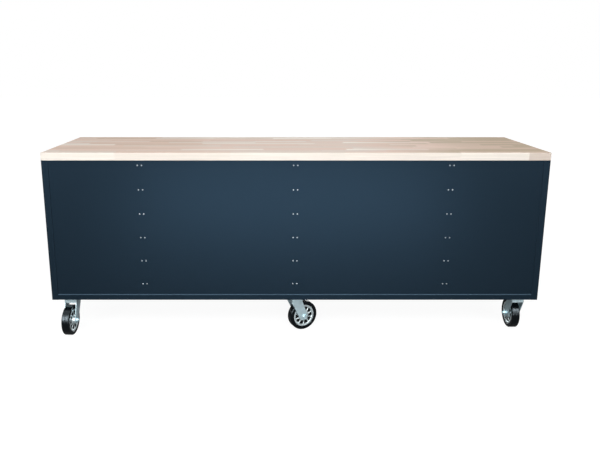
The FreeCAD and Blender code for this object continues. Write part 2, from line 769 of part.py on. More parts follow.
def make_bolt_and_nut(name, flats, head, shank, grip, nut, end):
    """Hexagon bolt pointing up with its head under z = 0, and the nut above what it clamps."""
    bolt = new_body(name + "_bolt")
    head_sketch = new_sketch(bolt, "head", "XY_Plane", "-" + head)
    hexagon(head_sketch, flats)
    extrude(bolt, "Pad", head_sketch, head)
    stem = new_sketch(bolt, "stem", "XY_Plane")
    circle(stem, "0", "0", shank)
    extrude(bolt, "Pad", stem, "%s + %s + %s" % (grip, nut, end))
    ring = new_body(name + "_nut")
    nut_sketch = new_sketch(ring, "outline", "XY_Plane", grip)
    hexagon(nut_sketch, flats)
    circle(nut_sketch, "0", "0", "(%s + 2 * dim.running_gap)" % shank)
    extrude(ring, "Pad", nut_sketch, nut)
    return [bolt, ring]


def make_fork(name, with_brake):
    """Pressed fork: a crown under the race, turned down between its two legs that trail to the axle."""
    body = new_body(name)
    blank = new_sketch(body, "blank", "YZ_Plane")
    foot = "dim.wheel_diameter / 2 - dim.boss_radius - dim.blank_margin"
    crown_low = "(%s - dim.fork_sheet)" % CROWN_TOP
    inner_bend = "(dim.fork_bend_radius - dim.fork_sheet)"
    loop(blank, [
        ("-" + LEG_OUTSIDE, foot),
        ("-" + LEG_INSIDE, foot),
        ("-" + LEG_INSIDE, crown_low, inner_bend),
        (LEG_INSIDE, crown_low, inner_bend),
        (LEG_INSIDE, foot),
        (LEG_OUTSIDE, foot),
        (LEG_OUTSIDE, CROWN_TOP, "dim.fork_bend_radius"),
        ("-" + LEG_OUTSIDE, CROWN_TOP, "dim.fork_bend_radius"),
    ])
    reach = "(dim.trail + dim.boss_radius + dim.boss_shoulder + dim.blank_margin)"
    extrude(body, "Pad", blank, "2 * " + reach, symmetric=True)
    trim = new_sketch(body, "trim", "XZ_Plane")
    waste = "(%s + dim.blank_margin)" % reach
    high = "%s + dim.blank_margin" % CROWN_TOP
    box_loop(trim, "-" + waste, waste, foot + " - dim.blank_margin", high)
    boss_low = "dim.wheel_diameter / 2 - dim.boss_radius"
    shoulder = "%s - dim.crown_drop" % CROWN_TOP
    loop(trim, [
        ("-dim.crown_front", CROWN_TOP),
        ("-dim.crown_front", shoulder, "dim.boss_radius"),
        ("dim.trail - dim.boss_radius - dim.boss_shoulder", boss_low, "dim.boss_radius"),
        ("dim.trail + dim.boss_radius + dim.boss_shoulder", boss_low, "dim.boss_radius"),
        ("dim.crown_back", shoulder, "dim.boss_radius"),
        ("dim.crown_back", CROWN_TOP),
    ])
    extrude(body, "Pocket", trim, symmetric=True)
    # The pedal passes under the trailing edge of a braked fork, so only its leading edge is turned down
    edges = [("leading_skirt", "-dim.crown_front", False)]
    if not with_brake:
        edges.append(("trailing_skirt", "dim.crown_back", True))
    for word, edge, inwards in edges:
        skirt = new_sketch(body, word, "YZ_Plane", edge)
        box_loop(skirt, "-" + LEG_INSIDE, LEG_INSIDE, crown_low + " - dim.skirt_height", crown_low)
        extrude(body, "Pad", skirt, "dim.fork_sheet", reverse=inwards)
    axle_holes = new_sketch(body, "axle_holes", "XZ_Plane")
    circle(axle_holes, "dim.trail", "dim.wheel_diameter / 2", "(dim.axle_bolt + 2 * dim.running_gap)")
    if with_brake:
        circle(axle_holes, "dim.pedal_pivot_out", PEDAL_Z, "(dim.pedal_pin + 2 * dim.running_gap)")
    extrude(body, "Pocket", axle_holes, symmetric=True)
    pin_hole = new_sketch(body, "pin_hole", "XY_Plane")
    circle(pin_hole, "0", "0", "(dim.king_pin + 2 * dim.running_gap)")
    extrude(body, "Pocket", pin_hole, reverse=True)
    cup = new_sketch(body, "cup", "XY_Plane", CROWN_TOP)
    bore = "(dim.race_diameter + 2 * dim.cup_gap)"
    circle(cup, "0", "0", bore)
    circle(cup, "0", "0", "(%s + 2 * dim.cup_wall)" % bore)
    extrude(body, "Pad", cup, "dim.cup_height")
    return body


def make_axle():
    """Axle bolt with its nut outside the fork legs, and the sleeve that the hub turns on."""
    bolt, nut = make_bolt_and_nut("axle", "dim.axle_flats", "dim.axle_head", "dim.axle_bolt",
                                  "2 * " + LEG_OUTSIDE, "dim.axle_nut", "dim.axle_end")
    sleeve = new_body("axle_sleeve")
    bore = "(dim.axle_bolt + 2 * dim.sleeve_gap)"
    ring = new_sketch(sleeve, "ring", "XY_Plane", "%s - %s" % (LEG_OUTSIDE, LEG_INSIDE))
    circle(ring, "0", "0", bore)
    circle(ring, "0", "0", "(%s + 2 * dim.sleeve_wall)" % bore)
    extrude(sleeve, "Pad", ring, "2 * " + LEG_INSIDE)
    for piece in (bolt, nut, sleeve):
        lie_along_y(piece, towards_front=False)
        piece.setExpression("Placement.Base.y", "-" + LEG_OUTSIDE)
    return [bolt, nut, sleeve]


def make_rim():
    """Cast rim: hub, web with blind trapezoid windows on both faces, and the ring under the tyre."""
    body = lie_along_y(new_body("rim"), towards_front=True)
    bore = "(dim.axle_bolt / 2 + dim.sleeve_gap + dim.sleeve_wall + dim.running_gap)"
    hub_half = "(%s - dim.hub_side_gap)" % LEG_INSIDE
    ring_inner = "(dim.rim_diameter / 2 - dim.rim_ring)"
    half_section = [
        (bore, hub_half),
        ("dim.hub_diameter / 2 - dim.rim_chamfer", hub_half),
        ("dim.hub_diameter / 2", hub_half + " - dim.rim_chamfer"),
        ("dim.hub_diameter / 2", "dim.rim_web / 2"),
        (ring_inner, "dim.rim_web / 2"),
        (ring_inner, "dim.rim_width / 2 - dim.rim_chamfer"),
        (ring_inner + " + dim.rim_chamfer", "dim.rim_width / 2"),
        ("dim.rim_diameter / 2", "dim.rim_width / 2"),
    ]
    mirrored = [(across, "-(%s)" % up) for across, up in reversed(half_section)]
    section = new_sketch(body, "section", "XZ_Plane")
    loop(section, half_section + mirrored)
    revolve(body, section)
    window = new_sketch(body, "window", "XY_Plane")
    width = "(%s / 2 * sin(180 / dim.window_count) - dim.spoke_width / 2)"
    inner_half = width % "dim.window_inner"
    outer_half = width % "dim.window_outer"
    loop(window, [
        ("dim.window_inner / 2", "-" + inner_half, "dim.window_radius"),
        ("dim.window_outer / 2", "-" + outer_half, "dim.window_radius"),
        ("dim.window_outer / 2", outer_half, "dim.window_radius"),
        ("dim.window_inner / 2", inner_half, "dim.window_radius"),
    ])
    pocket = extrude(body, "Pocket", window, symmetric=True)
    pattern = body.newObject("PartDesign::PolarPattern", "window_ring")
    pattern.Originals = [pocket]
    pattern.Axis = (origin_plane(body, "Z_Axis"), [""])
    pattern.setExpression("Occurrences", "dim.window_count")
    body.Tip = pattern
    floor = new_sketch(body, "window_floor", "XY_Plane")
    circle(floor, "0", "0", "dim.hub_diameter")
    circle(floor, "0", "0", "2 * " + ring_inner)
    extrude(body, "Pad", floor, "dim.window_floor", symmetric=True)
    return body


def make_tyre():
    """Solid rubber tyre with rounded shoulders."""
    body = lie_along_y(new_body("tyre"), towards_front=True)
    section = new_sketch(body, "section", "XZ_Plane")
    seat = "(dim.rim_diameter / 2 + dim.tyre_seat_gap)"
    tread = "dim.wheel_diameter / 2"
    loop(section, [
        (seat, "-dim.tyre_width / 2"),
        (tread, "-dim.tyre_width / 2", "dim.tyre_shoulder"),
        (tread, "dim.tyre_width / 2", "dim.tyre_shoulder"),
        (seat, "dim.tyre_width / 2"),
    ])
    revolve(body, section)
    return body


def make_pedal():
    """Brake pedal: a bent lever with a shoe over the tyre, on a pin through the fork legs."""
    body = new_body("pedal")
    lever = new_sketch(body, "lever", "XZ_Plane")
    out = "dim.pedal_pivot_out"
    top = "(%s + dim.pedal_sheet / 2)" % PEDAL_Z
    low = "(%s - dim.pedal_sheet / 2)" % PEDAL_Z
    shoe_low = low + " - dim.shoe_depth"
    bend = out + " + dim.pedal_length - dim.pedal_step"
    tip = out + " + dim.pedal_length"
    loop(lever, [
        (out, low),
        (out + " + dim.shoe_start", low),
        (out + " + dim.shoe_start", shoe_low),
        (out + " + dim.shoe_start + dim.shoe_length", shoe_low),
        (out + " + dim.shoe_start + dim.shoe_length", low),
        (bend, low),
        (tip, low + " - dim.pedal_fall"),
        (tip, top + " - dim.pedal_fall"),
        (bend, top),
        (out, top),
    ])
    extrude(body, "Pad", lever, "dim.pedal_width", symmetric=True)
    hub = new_sketch(body, "hub", "XZ_Plane")
    circle(hub, out, PEDAL_Z, "dim.pedal_hub")
    extrude(body, "Pad", hub, "dim.pedal_width", symmetric=True)
    pin_sketch = new_sketch(body, "pin", "XZ_Plane")
    circle(pin_sketch, out, PEDAL_Z, "dim.pedal_pin")
    extrude(body, "Pad", pin_sketch, "2 * %s" % LEG_OUTSIDE, symmetric=True)
    return body


def make_casters():
    """Six swivel casters under the channels, the two front corner ones with brakes."""
    plate = make_caster_plate()
    bolt_set = make_bolt_and_nut("plate", "dim.bolt_flats", "dim.bolt_head", "dim.bolt_shank",
                                 "dim.plate_thickness + dim.channel_sheet", "dim.bolt_nut", "dim.bolt_end")
    for piece in bolt_set:
        piece.Placement = Placement(Vector(), Rotation(Vector(1, 0, 0), 180))
    plain_fork = make_fork("plain_fork", with_brake=False)
    brake_fork = make_fork("brake_fork", with_brake=True)
    axle = make_axle()
    rim = make_rim()
    tyre = make_tyre()
    pedal = make_pedal()
    plates = []
    bolts = []
    for name, (column, row) in CASTERS.items():
        x = "%d * %s" % (column, CASTER_X)
        y = "%d * %s" % (row, CASTER_Y)
        turn = "dim.%s_turn" % name
        braked = row < 0 and column != 0
        plates.append(place(group(name + "_plate", [plate]), x, y, PLATE_TOP))
        for index, (across, along) in enumerate(BOLT_PLACES):
            copy = group("%s_bolt_%d" % (name, index), bolt_set)
            bolts.append(place(copy, "%s + %s" % (x, across), "%s + %s" % (y, along),
                               PLATE_TOP + " + dim.channel_sheet"))
        axle_x = "%s + dim.trail * cos(%s)" % (x, turn)
        axle_y = "%s + dim.trail * sin(%s)" % (y, turn)
        fork = brake_fork if braked else plain_fork
        nodes[name + "_fork"] = place(group(name + "_fork", [fork]), x, y, "0", turn)
        for word, members in (("axle", axle), ("rim", [rim]), ("tyre", [tyre])):
            label = "%s_%s" % (name, word)
            nodes[label] = place(group(label, members), axle_x, axle_y, "dim.wheel_diameter / 2", turn)
        if braked:
            nodes[name + "_pedal"] = place(group(name + "_pedal", [pedal]), x, y, "0", turn)
    nodes["caster_plates"] = group("caster_plates", plates)
    nodes["caster_bolts"] = group("caster_bolts", bolts)


# Clear width of each bay between the walls that carry its slides
BAYS = {
    "left_outer": ("-(%s - dim.side_flange)" % HALF_WIDTH, "-(dim.divider_offset + dim.divider_width / 2)"),
    "left_inner": ("-(dim.divider_offset - dim.divider_width / 2)", "-dim.divider_width / 2"),
    "right_inner": ("dim.divider_width / 2", "(dim.divider_offset - dim.divider_width / 2)"),
    "right_outer": ("(dim.divider_offset + dim.divider_width / 2)", "(%s - dim.side_flange)" % HALF_WIDTH),
}
RIVET_COLUMNS = ["%d * dim.divider_offset + %d * dim.rivet_spacing / 2" % (column, side)
                 for column in (-1, 0, 1) for side in (-1, 1)]
BOLT_PLACES = [("%d * dim.bolt_pitch_long / 2" % across, "%d * dim.bolt_pitch_short / 2" % along)
               for across in (-1, 1) for along in (-1, 1)]
CASTERS = {
    "front_left": (-1, -1),
    "front_middle": (0, -1),
    "front_right": (1, -1),
    "rear_left": (-1, 1),
    "rear_middle": (0, 1),
    "rear_right": (1, 1),
}

make_worktop()
make_side_panel("left_side_panel", -1)
make_side_panel("right_side_panel", 1)
make_base_frame()
make_top_deck()
make_back_panel()
make_divider("left_divider", "-dim.divider_offset")
make_divider("centre_divider", "0")
make_divider("right_divider", "dim.divider_offset")
make_side_liner("left_side_liner", -1)
make_side_liner("right_side_liner", 1)
make_rivets()
make_drawers()
make_lock()
make_caster_channels()
make_casters()
doc.recompute()

for item in doc.Objects:
    if "Invalid" in item.State or "Error" in item.State:
        raise RuntimeError("%s failed: %s" % (item.Name, item.State))
    if item.TypeId == "PartDesign::Pocket" and item.Shape.Volume > item.BaseFeature.Shape.Volume - 1e-3:
        raise RuntimeError("%s cuts nothing" % item.Name)

os.makedirs("parts", exist_ok=True)
for name, item in nodes.items():
    if item.Shape.isNull() or not item.Shape.isValid():
        raise RuntimeError("%s has no valid shape" % name)
for name, item in nodes.items():
    item.Label = name
    Part.makeCompound(item.Shape.Solids).exportStep("parts/%s.step" % name)
print(len(nodes), "sub-parts,", sum(len(item.Shape.Solids) for item in nodes.values()), "solids")
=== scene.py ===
"""Rolling tool cabinet: finishes, drawers, rivets, rims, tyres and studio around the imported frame."""

import json
import math

import bmesh
import bpy
from bpy.props import FloatProperty, FloatVectorProperty, IntProperty, PointerProperty
from mathutils import Matrix, Vector

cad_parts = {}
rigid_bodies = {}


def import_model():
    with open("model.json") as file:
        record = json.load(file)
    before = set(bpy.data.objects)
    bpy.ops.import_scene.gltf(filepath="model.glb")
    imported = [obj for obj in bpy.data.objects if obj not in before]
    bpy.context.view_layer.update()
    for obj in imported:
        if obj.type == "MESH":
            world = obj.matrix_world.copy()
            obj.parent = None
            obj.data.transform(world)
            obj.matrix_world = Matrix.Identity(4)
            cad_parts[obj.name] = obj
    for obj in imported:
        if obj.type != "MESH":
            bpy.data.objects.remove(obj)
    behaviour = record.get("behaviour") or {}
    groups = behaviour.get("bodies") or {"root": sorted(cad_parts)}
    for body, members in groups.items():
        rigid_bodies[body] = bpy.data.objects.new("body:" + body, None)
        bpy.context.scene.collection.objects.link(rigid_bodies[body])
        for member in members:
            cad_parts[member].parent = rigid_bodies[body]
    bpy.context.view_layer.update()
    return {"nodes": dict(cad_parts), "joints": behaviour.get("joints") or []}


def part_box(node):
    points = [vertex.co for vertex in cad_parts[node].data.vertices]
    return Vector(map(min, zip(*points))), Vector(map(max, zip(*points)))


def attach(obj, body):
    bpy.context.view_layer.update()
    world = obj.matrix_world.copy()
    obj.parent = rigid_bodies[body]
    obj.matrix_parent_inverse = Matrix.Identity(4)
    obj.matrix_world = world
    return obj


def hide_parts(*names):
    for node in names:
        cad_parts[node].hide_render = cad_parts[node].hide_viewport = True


bl_info = {
    "name": "Rolling Tool Cabinet",
    "version": (1, 0, 0),
    "blender": (4, 5, 0),
    "location": "View3D > Sidebar > Tool Cabinet",
    "description": "Dresses the frame of a rolling tool cabinet and sets up its studio",
    "category": "Object",
}

for startup_item in list(bpy.data.objects):
    bpy.data.objects.remove(startup_item)
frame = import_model()

MILLIMETRE = 0.001
# Points nearer to each other than this, in metres, become one
WELD_DISTANCE = 1e-6
# Edges of metal pieces that turn by more than this, in degrees, are shaded sharp
SHARP_DEGREES = 35
BACK_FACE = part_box("back_panel")[1].y
FRONT_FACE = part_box("top_deck")[0].y
WORKTOP_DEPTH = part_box("worktop")[1].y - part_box("worktop")[0].y
# Width of the flange that each side panel wraps round the back
SIDE_FLANGE = 32 * MILLIMETRE
# Top of the base rail, and how far its fold's painted highlight runs to both sides, between the flanges
RAIL_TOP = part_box("back_panel")[0].z
RAIL_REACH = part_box("worktop")[1].x - SIDE_FLANGE
DRAWERS = sorted(name for name in frame["nodes"] if "_drawer_" in name)
WHEELS = sorted(name[:-len("_tyre")] for name in frame["nodes"] if name.endswith("_tyre"))

# CAD nodes that keep their own mesh and only take a finish
FINISHES = {
    "slate_powder_coat": [
        "back_panel", "left_side_panel", "right_side_panel", "base_frame", "top_deck", "left_divider",
        "centre_divider", "right_divider", "left_side_liner", "right_side_liner", "caster_channels"],
    "satin_zinc_plate": [
        "slide_rails", "caster_plates", "caster_bolts", "front_left_pedal", "front_right_pedal",
        *(wheel + "_fork" for wheel in WHEELS), *(wheel + "_axle" for wheel in WHEELS)],
    "satin_nickel_plate": ["lock_bezel", "lock_barrel"],
}


def hex_colour(code):
    """Linear RGBA of an sRGB hex colour."""
    channels = [int(code[k:k + 2], 16) / 255 for k in (1, 3, 5)]
    linear = [c / 12.92 if c <= 0.04045 else ((c + 0.055) / 1.055) ** 2.4 for c in channels]
    return (*linear, 1.0)


def per_metre(millimetres):
    """Texture scale whose features are about this many millimetres across."""
    return 1 / (millimetres * MILLIMETRE)


def add_node(tree, kind, inputs=None, **settings):
    """Add a node, set its options, and link or fill its inputs. A node among them lends its first output."""
    made = tree.nodes.new(kind)
    for option, value in settings.items():
        setattr(made, option, value)
    for key, value in (inputs or {}).items():
        if isinstance(value, bpy.types.Node):
            value = value.outputs[0]
        if isinstance(value, bpy.types.NodeSocket):
            tree.links.new(value, made.inputs[key])
        else:
            made.inputs[key].default_value = value
    return made


def new_material(name, **constants):
    """A material with one shader, whose constant sockets are set directly."""
    material = bpy.data.materials.new(name)
    material.use_nodes = True
    tree = material.node_tree
    tree.nodes.clear()
    shader = add_node(tree, "ShaderNodeBsdfPrincipled", constants)
    add_node(tree, "ShaderNodeOutputMaterial", {"Surface": shader.outputs["BSDF"]})
    place = add_node(tree, "ShaderNodeTexCoord").outputs["Object"]
    return material, tree, shader, place


def tones(colour, darker, lighter):
    """Two tones of a colour, from the factors that darken and lighten it."""
    return [(*(Vector(colour) * factor)[:3], 1) for factor in (darker, lighter)]


def pattern_surface(tree, shader, pattern, colours, roughness, relief=None):
    """Let one pattern swing a surface between two colours and between two roughnesses, and raise it by
    a relief of a strength and a height in millimetres."""
    tone = add_node(tree, "ShaderNodeMix", {
        "Factor": pattern, "A": colours[0], "B": colours[1]}, data_type="RGBA")
    tree.links.new(tone.outputs["Result"], shader.inputs["Base Color"])
    gloss = add_node(tree, "ShaderNodeMapRange", {
        "Value": pattern, "To Min": roughness[0], "To Max": roughness[1]})
    tree.links.new(gloss.outputs["Result"], shader.inputs["Roughness"])
    if relief:
        strength, height = relief
        bump = add_node(tree, "ShaderNodeBump", {
            "Height": pattern, "Strength": strength, "Distance": height * MILLIMETRE})
        tree.links.new(bump.outputs["Normal"], shader.inputs["Normal"])


class WorktopSettings(bpy.types.PropertyGroup):
    """Staves of the wooden top."""

    stave_rows: IntProperty(
        name="Stave Rows", description="Staves side by side over the depth", default=14, min=4)
    stave_shortest: FloatProperty(
        name="Shortest Stave", description="Shortest mean length of the pieces in a row",
        default=0.28, unit="LENGTH")
    stave_longest: FloatProperty(
        name="Longest Stave", description="Longest mean length of the pieces in a row",
        default=0.62, unit="LENGTH")
    finger_length: FloatProperty(
        name="Finger Length", description="Length of the glued fingers where two pieces meet",
        default=0.012, unit="LENGTH")
    finger_pitch: FloatProperty(
        name="Finger Pitch", description="Width of one glued finger", default=0.010, unit="LENGTH")
    glue_line: FloatProperty(
        name="Glue Line", description="Width of the dark line between staves", default=0.0012,
        unit="LENGTH")
    cream: FloatVectorProperty(
        name="Cream Wood", description="Palest stave", subtype="COLOR", size=4,
        default=hex_colour("#F7F0E6"))
    beige: FloatVectorProperty(
        name="Beige Wood", description="Common stave", subtype="COLOR", size=4,
        default=hex_colour("#DACBBF"))
    rose: FloatVectorProperty(
        name="Rose Wood", description="Pinkish stave", subtype="COLOR", size=4,
        default=hex_colour("#DDC2B2"))
    tan: FloatVectorProperty(
        name="Tan Wood", description="Darkest stave", subtype="COLOR", size=4,
        default=hex_colour("#B9A58C"))


class FinishSettings(bpy.types.PropertyGroup):
    """Colours of the metal, paint and rubber."""

    powder: FloatVectorProperty(
        name="Powder Coat", description="Paint of the carcass and the drawers", subtype="COLOR", size=4,
        default=hex_colour("#131D25"))
    powder_gloss: FloatVectorProperty(
        name="Powder Gloss", description="Tint of the sheen on the paint", subtype="COLOR", size=4,
        default=hex_colour("#97CEFF"))
    # Painted highlight: pale colour of the base rail's fold, in place of light on its bend
    highlighted: FloatVectorProperty(
        name="Painted Fold Highlight", description="Paint rubbed pale along the base rail's fold", subtype="COLOR",
        size=4, default=hex_colour("#3A4B58"))
    zinc: FloatVectorProperty(
        name="Zinc Plate", description="Forks, plates, bolts and slides", subtype="COLOR", size=4,
        default=hex_colour("#D8EEF5"))
    rim: FloatVectorProperty(
        name="Cast Rim", description="Lacquered rims", subtype="COLOR", size=4,
        default=hex_colour("#E6F2F5"))
    # Painted shade: black that fills the rims' blind windows in place of their shade
    window: FloatVectorProperty(
        name="Painted Window Shade", description="Blind windows of the rims", subtype="COLOR", size=4,
        default=hex_colour("#0B0E11"))
    rubber: FloatVectorProperty(
        name="Rubber", description="Tyres", subtype="COLOR", size=4, default=hex_colour("#040608"))
    rubber_gloss: FloatVectorProperty(
        name="Rubber Gloss", description="Tint of the sheen on the tyres", subtype="COLOR", size=4,
        default=hex_colour("#D3E4EE"))
    rivet: FloatVectorProperty(
        name="Rivet Aluminium", description="Rivet heads", subtype="COLOR", size=4,
        default=hex_colour("#A3ADB4"))
    pull: FloatVectorProperty(
        name="Anodised Pull", description="Drawer pulls", subtype="COLOR", size=4,
        default=hex_colour("#AEB4B8"))
    lock: FloatVectorProperty(
        name="Nickel Plate", description="Key lock", subtype="COLOR", size=4,
        default=hex_colour("#A9A9A6"))


class RivetSettings(bpy.types.PropertyGroup):
    """Blind rivets of the back panel."""

    sides: IntProperty(name="Sides", description="Sides of each round rivet", default=24, min=8)
    head: FloatProperty(
        name="Head", description="Diameter of the head", default=0.0064, unit="LENGTH")
    rim_height: FloatProperty(
        name="Rim Height", description="Upright edge of the head", default=0.0003, unit="LENGTH")
    crown_height: FloatProperty(
        name="Crown Height", description="Rise of the head above its edge", default=0.0007,
        unit="LENGTH")
    crown: FloatProperty(
        name="Crown", description="Diameter of the flat on the head", default=0.0042, unit="LENGTH")
    hole: FloatProperty(
        name="Mandrel Hole", description="Diameter of the hole that the mandrel leaves",
        default=0.0018, unit="LENGTH")
    hole_depth: FloatProperty(
        name="Hole Depth", description="Depth of that hole", default=0.0008, unit="LENGTH")
    shank: FloatProperty(
        name="Shank", description="Diameter of the shank", default=0.0032, unit="LENGTH")
    grip: FloatProperty(
        name="Grip", description="Thickness of the sheets it holds", default=0.002, unit="LENGTH")
    tail: FloatProperty(
        name="Tail", description="Diameter of the swollen tail", default=0.0046, unit="LENGTH")
    tail_length: FloatProperty(
        name="Tail Length", description="Length of the swollen tail", default=0.003, unit="LENGTH")


class RimSettings(bpy.types.PropertyGroup):
    """Where the rims take the black of their painted window shade."""

    web: FloatProperty(
        name="Web", description="Thickness of the web that holds the spokes", default=0.032,
        unit="LENGTH")
    window_inner: FloatProperty(
        name="Windows From", description="Diameter inside which the hub is silver", default=0.053,
        unit="LENGTH")
    window_outer: FloatProperty(
        name="Windows To", description="Diameter outside which the ring is silver", default=0.0945,
        unit="LENGTH")


class TyreSettings(bpy.types.PropertyGroup):
    """Moulded form of the tyres."""

    steps: IntProperty(name="Steps", description="Steps round a tyre", default=96, min=24)
    shoulder: FloatProperty(
        name="Shoulder", description="Radius between tread and side", default=0.005, unit="LENGTH")
    bead_groove: FloatProperty(
        name="Bead Groove", description="Depth of the groove beside the rim", default=0.0012,
        unit="LENGTH")
    mould_line: FloatProperty(
        name="Mould Line", description="Height of the line round the middle of the tread",
        default=0.0003, unit="LENGTH")


class StudioSettings(bpy.types.PropertyGroup):
    """Camera and light."""

    camera_place: FloatVectorProperty(
        name="Camera Place", description="Where the camera stands", subtype="TRANSLATION",
        unit="LENGTH", default=(0.0999, 3.1553, 1.3597))
    camera_pitch: FloatProperty(
        name="Pitch", description="Tilt below the horizon", subtype="ANGLE",
        default=math.radians(12.31))
    lens: FloatProperty(
        name="Lens", description="Focal length on a 36 mm sensor", default=36.22)
    shift: FloatVectorProperty(
        name="Shift", description="Shift of the frame to the right and upwards", size=2,
        default=(0.0419, -0.0527))
    ambient: FloatProperty(
        name="Ambient", description="Strength of the sky that lights the object", default=0.18)
    floor_glow: FloatProperty(
        name="Floor Glow", description="White that the floor shows besides the light on it",
        default=0.93)
    floor_mirrored: FloatProperty(
        name="Floor Mirrored", description="Share of the floor's glow that shows in glossy surfaces",
        default=0.05)
    fill_power: FloatProperty(
        name="Fill Power", description="Wide soft box above and behind the camera", default=136,
        subtype="POWER")
    key_power: FloatProperty(
        name="Key Power", description="Low soft box whose sheen shows in the back panel", default=25.5,
        subtype="POWER")
    top_power: FloatProperty(
        name="Top Power", description="Soft box over the worktop", default=42, subtype="POWER")
    left_strip_power: FloatProperty(
        name="Left Strip Power", description="Tall strip box to the left of the camera", default=28,
        subtype="POWER")
    right_strip_power: FloatProperty(
        name="Right Strip Power", description="Tall strip box to the right of the camera", default=20,
        subtype="POWER")
    front_power: FloatProperty(
        name="Front Power", description="Soft box on the drawers' side", default=65, subtype="POWER")
    backdrop: FloatVectorProperty(
        name="Backdrop", description="White of the sky and of the floor's glow", subtype="COLOR", size=4,
        default=hex_colour("#FFFFFF"))
    floor_paint: FloatVectorProperty(
        name="Floor Paint", description="Colour of the floor under its glow", subtype="COLOR", size=4,
        default=hex_colour("#68696A"))


